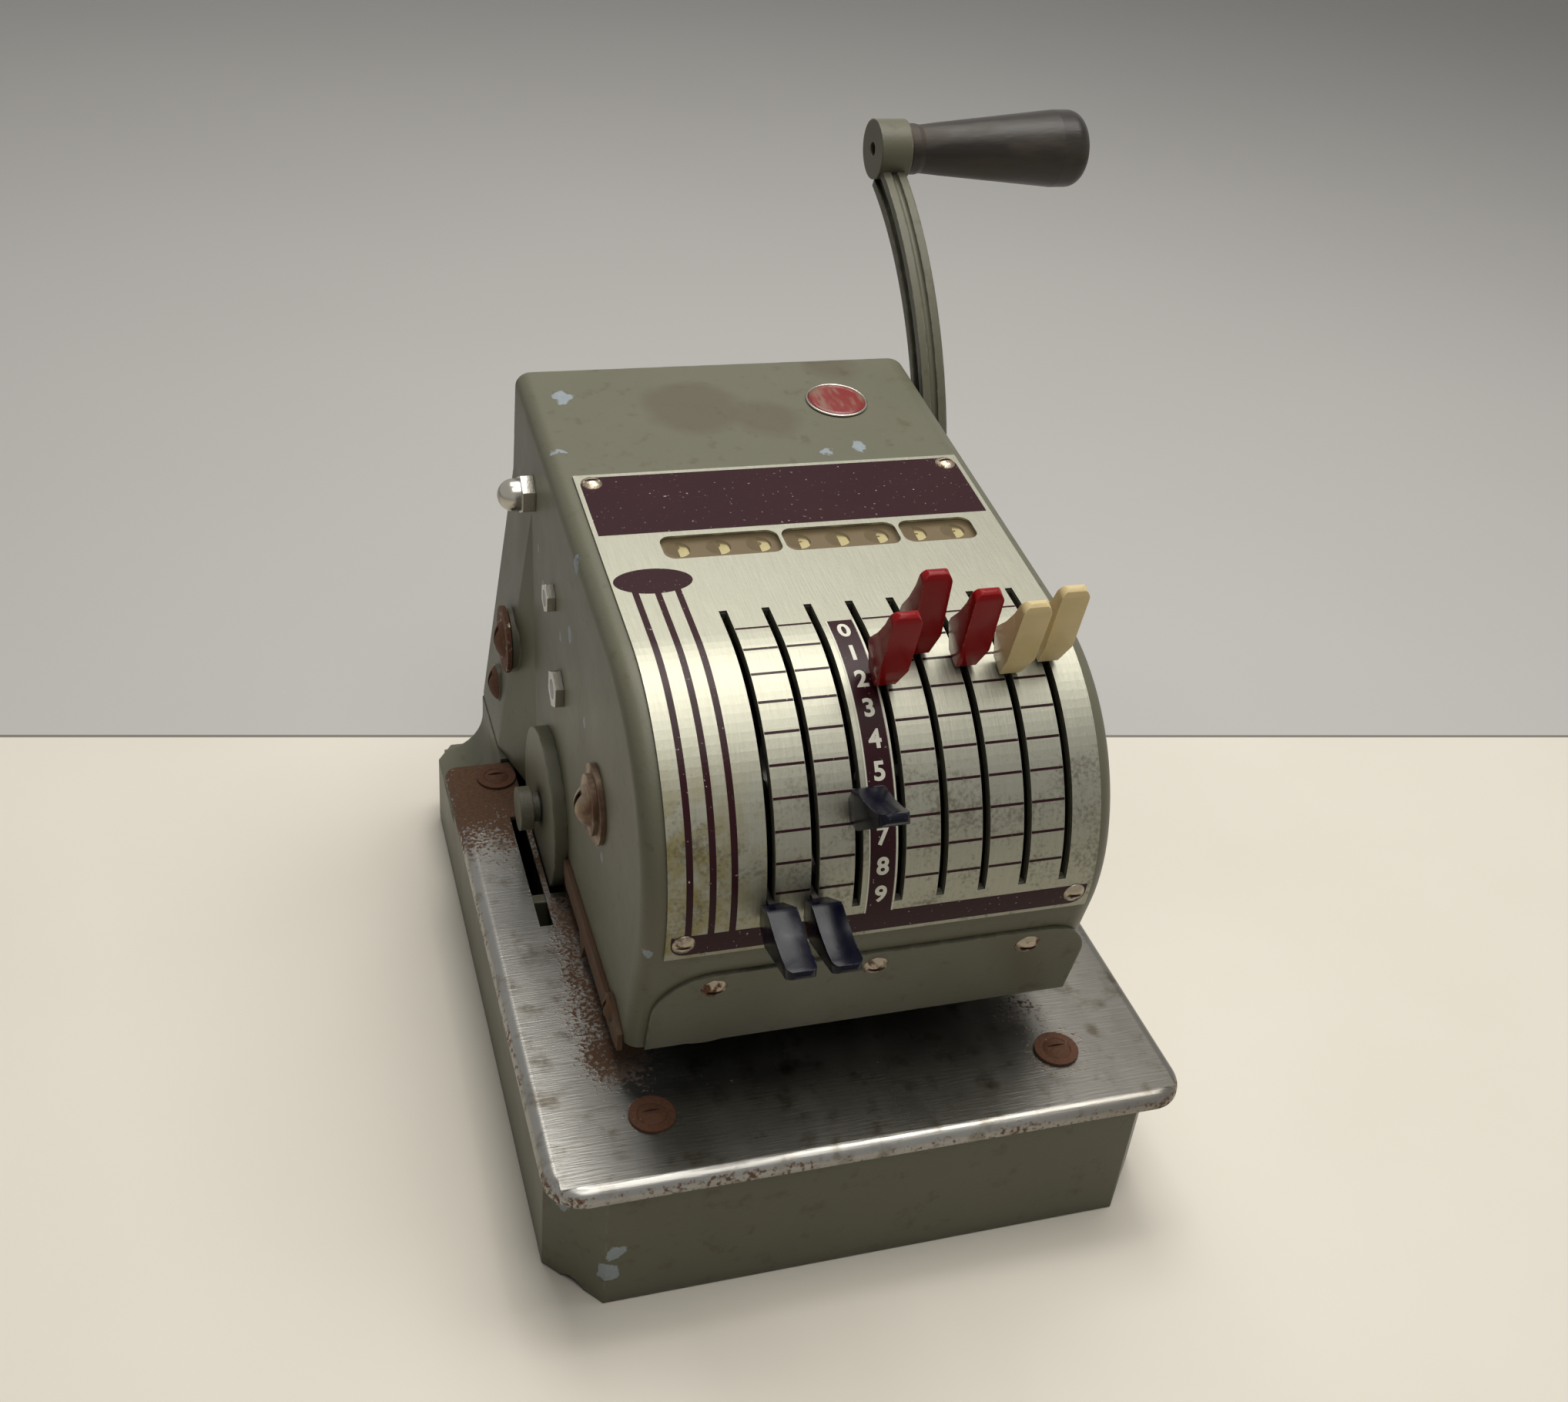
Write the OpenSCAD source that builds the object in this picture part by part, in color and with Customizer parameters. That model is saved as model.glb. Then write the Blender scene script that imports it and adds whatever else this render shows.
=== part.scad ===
// Desk check writer: finger levers turn type segments on one shaft, a pull handle lifts the platen.
// Millimetres. X runs across the machine, Y to its rear, Z up. The origin lies on the desk,
// midway across the head and straight below the lever shaft.

/* [Head] */
// Width of the head over its flat sides
head_w = 141.2; // [138:0.2:150]
// Height of the lever shaft above the desk
shaft_z = 120; // [118:0.5:124]
// Radius of the dial face, measured on the nameplate
dial_r = 60; // [59.8:0.1:62]
// Upward slope of the top panel towards the rear, in degrees
top_slope = 5.33; // [3:0.1:7]
// Length of the top panel behind the dial
top_len = 151; // [140:1:160]
// Angle of the lower front panel away from upright
front_lean = 14; // [12:1:16]
// Length of the lower front panel
front_len = 42; // [40:1:44]
// Wall of the cast head
head_wall = 2.4; // [2:0.1:3]
// Edge rounding on the left side
edge_left = 5; // [4:0.5:6]
// Edge rounding on the right side
edge_right = 8; // [7:0.5:9]
// How far the left flank flares out at the foot of the neck
flare_left = 9; // [6:0.5:10]
// How far the right flank flares out at the foot of the neck
flare_right = 5; // [3:0.5:5]

/* [Dial and levers] */
// Number of finger levers
columns = 8; // [4:1:8]
// Distance between levers
pitch = 12.7; // [12.6:0.05:12.8]
// How far the middle of the lever group lies right of the head's middle
dial_shift = 9.4; // [9:0.1:10]
// Turn of a lever from one digit to the next, in degrees
digit_step = 8.6667; // [8.6:0.01:8.7]
// Angle of a lever that stands at digit 0, from the rear horizontal
zero_angle = 97.7; // [97:0.1:98]
// Width of the finger slots
slot_w = 2.4; // [2.2:0.1:2.8]
// Thickness of a type segment
segment_t = 2.4; // [2.2:0.1:2.6]
// Radius over the type faces
type_r = 55; // [54:0.1:56]
// Width of a type block
type_w = 9; // [8:0.1:9.2]
// Width of a finger tab
tab_w = 8.6; // [8:0.1:9]
// Radius at which a finger tab ends
tab_r = 91; // [88:0.5:93]
// Radius of the lever shaft
shaft_r = 4; // [3.5:0.1:4.5]

/* [Indicators] */
// Radius of an indicator drum
drum_r = 16; // [15:0.1:16.4]
// Width of an indicator drum
drum_w = 6.5; // [6:0.1:6.6]
// Depth of the drum below the nameplate face
drum_depth = 3; // [2.8:0.1:3.4]
// Distance of the window middle behind the dial's end
window_at = 43.5; // [43:0.1:44]
// Length of a window towards the rear
window_len = 11.7; // [10:0.1:12]
// Teeth on an indicator pinion, one for each position
pinion_teeth = 11; // [11:1:11]
// Radius of the indicator shaft
drum_shaft_r = 2.5; // [2:0.1:3]

/* [Base and table] */
// Width of the base casting
base_w = 196; // [190:1:198]
// Distance from the lever shaft forward to the base's front
base_front = 85; // [84:0.5:86]
// Distance from the lever shaft back to the base's rear
base_rear = 163; // [160:1:168]
// Height of the table surface
table_z = 50.4; // [49:0.2:52]
// Width of the table plate
table_w = 200.4; // [199:0.2:206]
// Depth of the table's rolled edge
lip_h = 4.8; // [4:0.2:6]
// Sheet thickness of the table
table_t = 1.4; // [1.2:0.1:1.8]
// Wall of the base casting
base_wall = 4; // [3:0.5:5]
// Height of the shoulders behind the table
shoulder_z = 28; // [24:1:32]
// Half width of the neck at its foot
neck_half = 80; // [79.8:0.1:81]
// Height at which the head stands on the neck
neck_z = 52; // [51.8:0.1:53]
// Distance from the lever shaft back to the throat's end
throat_back = 40; // [38:0.5:41]
// Thickness of the resting pad under the base
pad_t = 2; // [1.5:0.1:3]
// Thickness of the bottom plate
bottom_t = 1.5; // [1.2:0.1:2]

/* [Handle and press] */
// Place of the handle shaft behind the lever shaft
handle_y = 124; // [122:0.5:126]
// Height of the handle shaft
handle_z = 100.4; // [99:0.2:102]
// Radius of the handle shaft
handle_r = 6; // [5:0.5:6.5]
// Bending radius of the handle arm
arm_bend = 130; // [126:1:134]
// Width of the handle arm across the machine
arm_w = 8.8; // [8:0.1:9.4]
// Depth of the handle arm's section
arm_d = 11; // [10:0.2:12]
// Length of the grip
grip_len = 72; // [60:1:80]
// Radius of the grip at its thick end
grip_r = 14.2; // [12:0.1:15]
// Lift of the platen at a full pull
press_lift = 13.8; // [12:0.1:13.9]
// Full pull of the handle, in degrees
pull = 75; // [70:1:75]

/* [Ink roll] */
// Place of the ink roll behind the lever shaft
ink_y = 67; // [66:0.5:68]
// Height of the ink roll's axis
ink_z = 68.4; // [68:0.1:69]
// Radius of the ink roll
ink_r = 23; // [20:0.5:24]
// Radius of the ink roll's spindle
ink_spindle_r = 4; // [3:0.5:5]
// Radius of the ink roll's cover
ink_cover_r = 27.5; // [27:0.1:28]

/* [Hidden] */
$fn = 48;
play = 0.05;      // radial play of a running fit
loose = 0.15;     // play of fixed parts in their holes
seat = 0.3;       // gap between pieces that only meet in use
plate_t = 0.8;    // nameplate sheet
half = head_w / 2;
inside = half - head_wall;
shell_r = dial_r - plate_t;
theta_top = 90 + top_slope;
theta_low = 180 + front_lean;
theta_slot = 178.8;    // lower end of the finger slots
slot_top = 11;         // reach of the slots onto the top panel
plate_end = 190.3;     // lower end of the nameplate on the dial
plate_len = 85;        // reach of the nameplate onto the top panel
plate_half = half - 6.5;
plate_bends = 36;      // flats that the nameplate is rolled round the dial in
plate_back = shell_r + 0.05;
cover_t = 1.2;         // lower front cover
cover_left = 5.6 - half;
cover_right = half - 0.5;
cover_top = 6.5;
cover_round = [18, 15];
mark_x = 59;           // screws of the nameplate, two on the lid and two on the dial
mark_s = 80.2;
mark_angle = 184.65;
mark_r = 3.4;
chin_marks = [-47.6, 1.3, 49.9]; // screws of the lower front cover
chin_mark_t = 13;
chin_mark_r = 4;
rear_mark_x = 56;      // screws of the rear cover, at two heights
rear_marks = [12, 122];
badge_at = [35, -123.3];
badge_r = 10.6;
rest_digits = [9, 9, 6, 2, 1, 1.6, 2, 1.7];
tab_colours = ["#1b2145", "#1b2145", "#1b2145", "#b0222b", "#b0222b", "#b0222b", "#ddd0a0", "#ddd0a0"];
paint = "#656b5a";
steel = "#9a9b97";
bright = "#c4c5c3";
rusty = "#7a5236";
iron = "#54544f";
bronze = "#a58a55";

// Points of the head's outline, as [y, z], at a distance r from the lever shaft.
function polar(r, a) = [r * cos(a), r * sin(a)];
function on_dial(r, a) = [0, shaft_z] + polar(r, a);
function on_lid(r, s) = on_dial(r, theta_top) + polar(s, theta_top - 90);
function on_chin(r, t) = on_dial(r, theta_low) + polar(t, theta_low + 90);

throat_z = on_chin(shell_r, front_len)[1];
rear_top = on_lid(shell_r, top_len);
rear_foot = [base_rear - 3, neck_z];
rear_lean = atan2(rear_foot[0] - rear_top[0], rear_top[1] - rear_foot[1]);
rear_h = norm(rear_top - rear_foot);

// gears: the sector moves one tooth for each digit, the pinion one eleventh of a turn
pinion_step = 360 / pinion_teeth;
ratio = pinion_step / digit_step;
drum_at = on_lid(dial_r - drum_depth - drum_r, window_at);
centres = norm(drum_at - [0, shaft_z]);
mesh_angle = atan2(drum_at[1] - shaft_z, drum_at[0]);
pinion_r = centres / (1 + ratio);
sector_r = centres - pinion_r;
gear_module = 2 * pinion_r / pinion_teeth;
addendum = 0.8 * gear_module;
dedendum = 1.05 * gear_module;
pressure = 25;
backlash = 0.3;
drum_side = segment_t / 2 + seat;        // drum's face beside its segment
detent_at = mesh_angle - 3 * digit_step; // a gap of every sector stands here at a digit
finger_w = 5;
finger_t = segment_t - 0.6;
finger_end = 74;
type_from = 47;

// rods that cross the head, as [y, z, radius]
detent_rod = [57.5, 123, 3];
stay_rod = [72.5, 148, 2.5];
top_rod = [110, 165.5, 3];
rods = [detent_rod, stay_rod, top_rod];
foot_screw = [136, 74, 3];
frame_x = half - 9.1;      // inner face of the inner frames
frame_t = 3;

// press train
cam_r = 14;
cam_w = 8;
cam_gap = 0.7;
pivot_y = 80;
pivot_z = 24;
pivot_r = 5;
rear_arm = handle_y - pivot_y;
press_angle = asin(press_lift / 2 / pivot_y) * 2;
rod_drop = 2 * rear_arm * sin(press_angle / 2);
cam_rate = rod_drop / pull;    // drop for each degree of pull
nose_r = 4;
press_x = dial_shift;
platen_deep = 9;
platen_h = 12;
platen_half = columns * pitch / 2;
platen_top = table_z - 0.2;
rod_foot = pivot_z + rear_arm * sin(press_angle / 2) + nose_r + seat;
rod_head = handle_z - cam_r - cam_gap - nose_r;
stem_foot = pivot_z - pivot_y * sin(press_angle / 2) + nose_r + seat;

arm_x = half + 4;              // inner face of the arm
arm_from = 111;
arm_to = 187;
arm_centre = [handle_y + 1, handle_z + 1.2] - polar(arm_bend, arm_to);
hub_at = arm_centre + polar(arm_bend, arm_from) + [1.6, 8.7];
hub_r = 10.8;
hub_len = 12;
hub_x = arm_x + arm_w / 2 - hub_len / 2;

spring_turns = 6;
spring_wire = 1.1;
spring_r = handle_r + seat + spring_wire;
spring_step = 3.4;
spring_x = 26;
echo(spring_gap = spring_step - 2 * spring_wire);

rim_z = table_z - table_t;     // top of the casting under the table
foot_z = 0.5;                  // lower edge of the casting
corner = [15, 18.5];           // cut corners of the base, in X and Y
table_hole = [base_w / 2 - 33, 24 - base_front];
rear_hole = [base_w / 2 - 15, base_rear - 54];
neck_wall = half - 0.4;        // outer face of the casting's walls under the head
cut_x = half + 5.2;            // inner edge of the table beside the neck
guide_slot = [-6.2, 26.6];     // corner of the slot beside the head's left side
table_rear = base_rear - 45;
post_r = 6;
post_foot = pad_t + bottom_t;
post_h = rim_z - post_foot;
bend_r = 4;
window_groups = [[0, 3], [3, 3], [6, 2]];

function lever_x(i) = dial_shift + (i - (columns - 1) / 2) * pitch;
function lever_turn(i) = zero_angle + rest_digits[i] * digit_step;
function drum_turn(i) = mesh_angle + 180 - rest_digits[i] * pinion_step;

// Turns a shape drawn as (y, z) into a body across the machine, from x0 to x1.
module across(x0, x1) {
    translate([x0, 0, 0]) rotate([90, 0, 90]) linear_extrude(x1 - x0) children();
}

// A round bar across the machine.
module bar(at, r, x0, x1) {
    translate([x0, at[0], at[1]]) rotate([0, 90, 0]) cylinder(r = r, h = x1 - x0);
}

// Sweeps a section drawn as (radius, x) about a line across the machine.
module swept(at, a0, a1) {
    translate([0, at[0], at[1]]) rotate([90, 0, 90]) rotate([0, 0, a0])
        rotate_extrude(angle = a1 - a0, $fn = 96) children();
}

// Draws a section (radius, x) out along the lid, from s0 to s1 behind the dial.
module along_lid(s0, s1) {
    translate([0, 0, shaft_z]) rotate([90, 0, 90]) rotate([0, 0, theta_top])
        translate([0, -s0, 0]) rotate([90, 0, 0]) linear_extrude(s1 - s0) children();
}

// Draws a section (radius, x) out down the lower front, from t0 to t1 below the dial.
module along_chin(t0, t1) {
    translate([0, 0, shaft_z]) rotate([90, 0, 90]) rotate([0, 0, theta_low])
        translate([0, t1, 0]) rotate([90, 0, 0]) linear_extrude(t1 - t0) children();
}

// A sheet drawn as (x, way round the dial) that lies square to the radius at one angle.
module sheet_at(angle, r0, r1) {
    translate([0, 0, shaft_z]) rotate([90, 0, 90]) rotate([0, 0, angle])
        mirror([1, 0, -1]) translate([0, 0, r0]) linear_extrude(r1 - r0) children();
}

// Stands a piece on the head, with its own Z along the radius.
module stood_at(angle, r, x, way) {
    translate([0, 0, shaft_z]) rotate([90, 0, 90]) rotate([0, 0, angle])
        translate([r, way, x]) rotate([0, 90, 0]) children();
}

// Stands a piece on a side of the machine, with its own Z pointing outwards.
module on_side(side, x, at) {
    translate([side * x, at[0], at[1]]) rotate([0, side * 90, 0]) children();
}

module round_slab(w, h, r) {
    for (sx = [-1, 1], sy = [-1, 1]) translate([sx * (w / 2 - r), sy * (h / 2 - r)]) circle(r);
    square([w - 2 * r, h], center = true);
    square([w, h - 2 * r], center = true);
}

// Slotted screw: domed head above Z = 0, shank below.
module slotted_screw(r, h, shank, depth) {
    ball = (r * r + h * h) / (2 * h);
    difference() {
        union() {
            intersection() {
                cylinder(r = r, h = h);
                translate([0, 0, h - ball]) sphere(ball);
            }
            translate([0, 0, -depth]) cylinder(r = shank, h = depth + h / 4);
        }
        translate([-r, -r / 6, h * 0.45]) cube([2 * r, r / 3, h]);
    }
}

module hex_nut(r, h, hole) {
    difference() {
        cylinder(r = r, h = h, $fn = 6);
        translate([0, 0, -1]) cylinder(r = hole, h = h + 2);
    }
}

// Cast skin of the head in section, as (radius, x), with rounded edges.
module rounded_edge(r, w, left, right, depth) {
    translate([r - depth, -w]) square([depth - left, w]);
    translate([r - depth, left - w]) square([depth, w - left]);
    translate([r - left, left - w]) circle(left);
    translate([r - depth, 0]) square([depth - right, w]);
    translate([r - depth, 0]) square([depth, w - right]);
    translate([r - right, w - right]) circle(right);
}

module head_skin() {
    strip = 24;
    difference() {
        rounded_edge(shell_r, half, edge_left, edge_right, strip);
        rounded_edge(shell_r - head_wall, inside, edge_left - head_wall, edge_right - head_wall, strip);
    }
}

module head_side() {
    inset = shell_r - 10;
    polygon(concat(
        [[throat_back, throat_z], on_chin(inset, front_len + 10 * tan(front_lean))],
        [for (k = [0:8]) on_dial(inset, theta_low + (theta_top - theta_low) * k / 8)],
        [on_lid(inset, top_len - 0.6), rear_foot, [throat_back, neck_z]]));
}

module flank(side, flare) {
    mirror([side < 0 ? 1 : 0, 0, 0]) hull() {
        across(half - 1, half) polygon([[112, 158], [147, 158], rear_foot, [93, neck_z]]);
        across(half - 1, half + flare)
            polygon([[126, neck_z], rear_foot, rear_foot + [0, 2], [128, neck_z + 2]]);
    }
}

module slot_cuts() {
    for (i = [0:columns - 1])
        across(lever_x(i) - slot_w / 2, lever_x(i) + slot_w / 2)
            polygon([[0, shaft_z], on_dial(90, theta_slot), on_dial(90, 150), on_dial(90, 120),
                on_lid(90, slot_top), on_lid(40, slot_top)]);
}

// Two bosses for the handle shaft and two for the foot screws, flat on their outer faces.
function boss_left(z) = half + 0.9 + flare_left * (158 - z) / (158 - neck_z);
function boss_right(z) = half + 0.5 + flare_right * (158 - z) / (158 - neck_z);

module head_housing() color(paint) {
    difference() {
        union() {
            difference() {
                union() {
                    swept([0, shaft_z], theta_top, theta_low) head_skin();
                    along_lid(0, top_len) head_skin();
                    along_chin(0, front_len + 8) head_skin();
                }
                translate([-half - 1, -90, throat_z - 40]) cube([head_w + 2, 90 + throat_back, 40]);
            }
            for (side = [-1, 1]) mirror([side < 0 ? 1 : 0, 0, 0]) across(inside, half) head_side();
            translate([-half, throat_back, neck_z]) cube([head_w, head_wall, throat_z - neck_z + 4]);
            flank(-1, flare_left);
            flank(1, flare_right);
            bar([handle_y, handle_z], 11, -boss_left(handle_z), -inside);
            bar([handle_y, handle_z], 11, inside, boss_right(handle_z));
            bar(foot_screw, 7, -boss_left(foot_screw[1]), -inside);
            bar(foot_screw, 7, inside, boss_right(foot_screw[1]));
        }
        slot_cuts();
        screw_cuts();
        sheet_at(theta_top, shell_r - head_wall - 1, shell_r + 1) lens_outline();
        bar([0, shaft_z], shaft_r + loose, -half - 1, half + 1);
        for (rod = rods) bar(rod, rod[2] + loose, -half - 1, half + 1);
        bar([handle_y, handle_z], handle_r + 3 + loose, -half - 20, half + 20);
        bar(foot_screw, foot_screw[2] + loose, -half - 20, half + 20);
        bar([ink_y, ink_z], ink_cover_r + 3.5, -half - 20, -half);
        bar([ink_y, ink_z], ink_r + 1, -half - 1, -inside + 1);
        bar([ink_y, ink_z], ink_spindle_r + play, inside - 1, half + 1);
    }
}

lens_left = lever_x(0) - 11.2;
lens_right = lever_x(columns - 1) + 4.6;

module lens_outline() {
    translate([(lens_left + lens_right) / 2, -window_at])
        square([lens_right - lens_left, window_len + 3], center = true);
}

module window_lens() color([0.75, 0.72, 0.62, 0.5]) {
    sheet_at(theta_top, shell_r - 1.2, shell_r) lens_outline();
}

module window_cuts() {
    for (g = window_groups) {
        w = g[1] * pitch - 1.2;
        translate([lever_x(g[0]) - 10.2 + w / 2, -window_at]) round_slab(w, window_len, 3.5);
    }
}

module screw_cuts() {
    for (x = [-mark_x, mark_x]) {
        stood_at(theta_top, dial_r - 4, x, -mark_s) cylinder(r = 1.7, h = 6);
        stood_at(mark_angle, dial_r - 4, x, 0) cylinder(r = 1.7, h = 6);
    }
    for (x = chin_marks) stood_at(theta_low, shell_r - 4, x, chin_mark_t) cylinder(r = 2, h = 6);
}

function plate_angle(k) = theta_top + (plate_end - theta_top) * k / plate_bends;

// Sheet of even thickness, flat over the lid and rolled down over the dial.
module nameplate() color(bright) {
    difference() {
        across(-plate_half, plate_half) polygon(concat(
            [on_lid(dial_r, plate_len)],
            [for (k = [0:plate_bends]) on_dial(dial_r, plate_angle(k))],
            [for (k = [plate_bends:-1:0]) on_dial(plate_back, plate_angle(k))],
            [on_lid(plate_back, plate_len)]));
        slot_cuts();
        screw_cuts();
        sheet_at(theta_top, shell_r - 1, dial_r + 1) window_cuts();
    }
}

// Pressed cover over the lower front, with its upper corners cut round.
module front_lower_cover() color(paint) {
    a = cover_round[0];
    b = cover_round[1];
    sheet_at(theta_low, shell_r, shell_r + cover_t) difference() {
        union() {
            translate([cover_left, cover_top + a])
                square([cover_right - cover_left, front_len - cover_top - a - seat]);
            translate([cover_left + a, cover_top]) square([cover_right - cover_left - a - b, a + 1]);
            translate([cover_left + a, cover_top + a]) circle(a);
            translate([cover_right - b, cover_top + b]) circle(b);
            translate([cover_right - b - 1, cover_top + b]) square([b + 1, a]);
        }
        for (x = chin_marks) translate([x, chin_mark_t]) circle(2.2);
    }
}

module cover_screws() color(rusty) {
    for (x = [-mark_x, mark_x]) {
        stood_at(theta_top, dial_r, x, -mark_s) slotted_screw(mark_r, 1.5, 1.6, 1.5);
        stood_at(mark_angle, dial_r, x, 0) slotted_screw(mark_r, 1.5, 1.6, 1.5);
    }
    for (x = chin_marks) stood_at(theta_low, shell_r + cover_t, x, chin_mark_t)
        slotted_screw(chin_mark_r, 1.8, 1.8, 3);
    translate([0, rear_foot[0], rear_foot[1]]) rotate([rear_lean, 0, 0])
        for (sx = [-1, 1], h = rear_marks)
            translate([sx * rear_mark_x, 0, h]) rotate([-90, 0, 0]) slotted_screw(mark_r, 1.5, 1.6, 3);
}

module badge() color("#8f1d22") {
    sheet_at(theta_top, shell_r, shell_r + 0.8) translate(badge_at) circle(badge_r);
}

module rear_cover() color(paint) {
    translate([0, rear_foot[0], rear_foot[1]]) rotate([rear_lean, 0, 0]) rotate([90, 0, 0])
        translate([0, 0, 0.2]) linear_extrude(1.5) difference() {
            translate([seat - inside, 2]) square([2 * inside - 2 * seat, rear_h - 12]);
            for (sx = [-1, 1], h = rear_marks) translate([sx * rear_mark_x, h]) circle(1.7);
        }
}

// Inner frame that carries the shafts, with two lightening holes. Its outline is drawn from the lever shaft.
frame_outline = [[-14, -12], [-14, 10], [4, 40], [24, 54], [46, 56], [100, 54], [119, 54], [119, 38],
    [84, 20], [68, -8], [40, -14]];
frame_holes = [[26, 14, 10], [80, 40, 7]];

module inner_frame() {
    difference() {
        translate([0, 0, shaft_z]) across(0, frame_t) difference() {
            polygon(frame_outline);
            for (hole = frame_holes) translate([hole[0], hole[1]]) circle(hole[2]);
        }
        bar([0, shaft_z], shaft_r + loose, -1, frame_t + 1);
        bar(drum_at, drum_shaft_r + loose, -1, frame_t + 1);
        for (rod = rods) bar(rod, rod[2] + loose, -1, frame_t + 1);
    }
}

module frame_left() color(steel) translate([-frame_x - frame_t, 0, 0]) inner_frame();

module frame_right() color(steel) translate([frame_x, 0, 0]) inner_frame();

module cross_rods() color(steel) {
    for (rod = rods) bar(rod, rod[2], -half - 3, half + 2.6);
}

module acorn_nut() color(bright) {
    on_side(-1, half, top_rod) difference() {
        union() {
            hex_nut(6.8, 4.5, 1);
            cylinder(r = 5.4, h = 6.5);
            translate([0, 0, 6.5]) sphere(5.4);
        }
        translate([0, 0, -1]) cylinder(r = top_rod[2] + loose, h = 4.2);
    }
}

module side_nuts() color(bright) {
    on_side(-1, half, stay_rod) hex_nut(5, 3, stay_rod[2] + loose);
    on_side(-1, half, detent_rod) hex_nut(6.6, 3, detent_rod[2] + loose);
    for (rod = rods) on_side(1, half, rod) hex_nut(5.6, 2.6, rod[2] + loose);
}

module foot_screws() color(rusty) {
    on_side(-1, boss_left(foot_screw[1]), foot_screw) slotted_screw(6.4, 3, foot_screw[2], 17);
    on_side(1, boss_right(foot_screw[1]), foot_screw) slotted_screw(6.4, 3, foot_screw[2], 14);
}

module lever_shaft() color(steel) bar([0, shaft_z], shaft_r, -half + 0.2, half - 0.2);

module shaft_screws() color(bright) {
    for (side = [-1, 1]) on_side(side, half, [0, shaft_z]) {
        h = side < 0 ? 1.6 : 0.8;
        cylinder(r = 12.4, h = h);
        cylinder(r = 9.4, h = 2 * h);
        translate([0, 0, 2 * h]) slotted_screw(6.6, side < 0 ? 4 : 1.6, 2, 0.5);
    }
}

module indicator_shaft() color(steel) bar(drum_at, drum_shaft_r, -frame_x - frame_t, frame_x + frame_t);

// Bent leaf springs: their noses stand just outside the sector teeth.
module detent_springs() color(steel) {
    tip = sector_r + addendum + 0.25;
    for (i = [0:columns - 1]) across(lever_x(i) - 1.8, lever_x(i) + 1.8) {
        difference() {
            union() {
                translate([detent_rod[0], detent_rod[1]]) circle(detent_rod[2] + 1);
                polygon([[detent_rod[0] + 0.5, detent_rod[1]], [detent_rod[0] + 2.6, detent_rod[1] + 2.8],
                    on_dial(tip + 4.6, detent_at - 3), on_dial(tip + 2.2, detent_at + 3),
                    on_dial(tip, detent_at + 1), on_dial(tip, detent_at - 1),
                    on_dial(tip + 3.2, detent_at - 3)]);
            }
            translate([detent_rod[0], detent_rod[1]]) circle(detent_rod[2] + loose);
        }
    }
}

// Strip that leads the check's edge, with a pointer at the printing line.
guide_t = 1.6;
guide_strip = [[-44, 11.1], [-38, 9.6], [35, 9.6], [38, 12.6], [38, 17.6], [-26, 18.1], [-30, 21.1],
    [-34, 21.1], [-44, 17.6]];
guide_pointer = [[3.5, 10.6], [12.5, 10.6], [8.4, 1.8], [7.6, 1.8]];

module check_guide() color(rusty) {
    translate([0, 0, table_z]) across(-half - guide_t, -half) union() {
        polygon(guide_strip);
        polygon(guide_pointer);
    }
    on_side(-1, half + guide_t, [-32, table_z + 17.1]) slotted_screw(4.2, 2, guide_t - 0.1, 1.5);
}

module handle_bushes() color(bronze) {
    for (side = [-1, 1]) {
        x = side < 0 ? boss_left(handle_z) : boss_right(handle_z);
        on_side(side, 0, [handle_y, handle_z]) difference() {
            translate([0, 0, inside - 3]) cylinder(r = handle_r + 3, h = x - inside + 3);
            cylinder(r = handle_r + play, h = half + 20);
        }
    }
}

function spring_point(k) = [spring_x + spring_step * k / 16,
    handle_y + spring_r * cos(22.5 * k), handle_z + spring_r * sin(22.5 * k)];

// Torsion spring round the handle shaft, one tube of square section.
module return_spring() color(steel) {
    n = spring_turns * 16;
    w = spring_wire;
    polyhedron(
        points = [for (k = [0:n]) for (q = [0:5]) [
            spring_point(k)[0] + w * sin(60 * q),
            handle_y + (spring_r + w * cos(60 * q)) * cos(22.5 * k),
            handle_z + (spring_r + w * cos(60 * q)) * sin(22.5 * k)]],
        faces = concat(
            [[5, 4, 3, 2, 1, 0]],
            [for (k = [0:n - 1]) for (q = [0:5]) [6 * k + q, 6 * k + (q + 1) % 6, 6 * k + 6 + (q + 1) % 6]],
            [for (k = [0:n - 1]) for (q = [0:5]) [6 * k + q, 6 * k + 6 + (q + 1) % 6, 6 * k + 6 + q]],
            [[for (q = [0:5]) 6 * n + q]]));
}

module handle_shaft() color(steel) {
    left = boss_left(handle_z) + 0.4;
    bar([handle_y, handle_z], handle_r, -left, arm_x + arm_w);
    on_side(-1, left, [handle_y, handle_z]) {
        cylinder(r = 12, h = 1.6);
        translate([0, 0, 1.6]) slotted_screw(7, 3, 3, 1);
    }
}

// Snail cam: its edge moves out steadily as the shaft turns.
module press_cam() color(iron) {
    translate([0, handle_y, handle_z]) across(press_x - cam_w / 2, press_x + cam_w / 2) difference() {
        union() {
            polygon([for (a = [pull + 24:-3:0]) polar(cam_r + cam_rate * (a - 12), 282 - a),
                [11, -5], [9, 6], [0, 12]]);
            circle(11);
        }
        circle(handle_r + loose);
    }
}

module arm_section() {
    d = arm_d / 2;
    w = arm_w / 2;
    difference() {
        translate([arm_bend - d, -w]) square([arm_d, arm_w]);
        for (s = [-1, 1]) translate([arm_bend - 2.4, s * w - 1.8]) square([4.8, 3.6]);
        translate([arm_bend + d, 0]) circle(1.3);
    }
}

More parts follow.
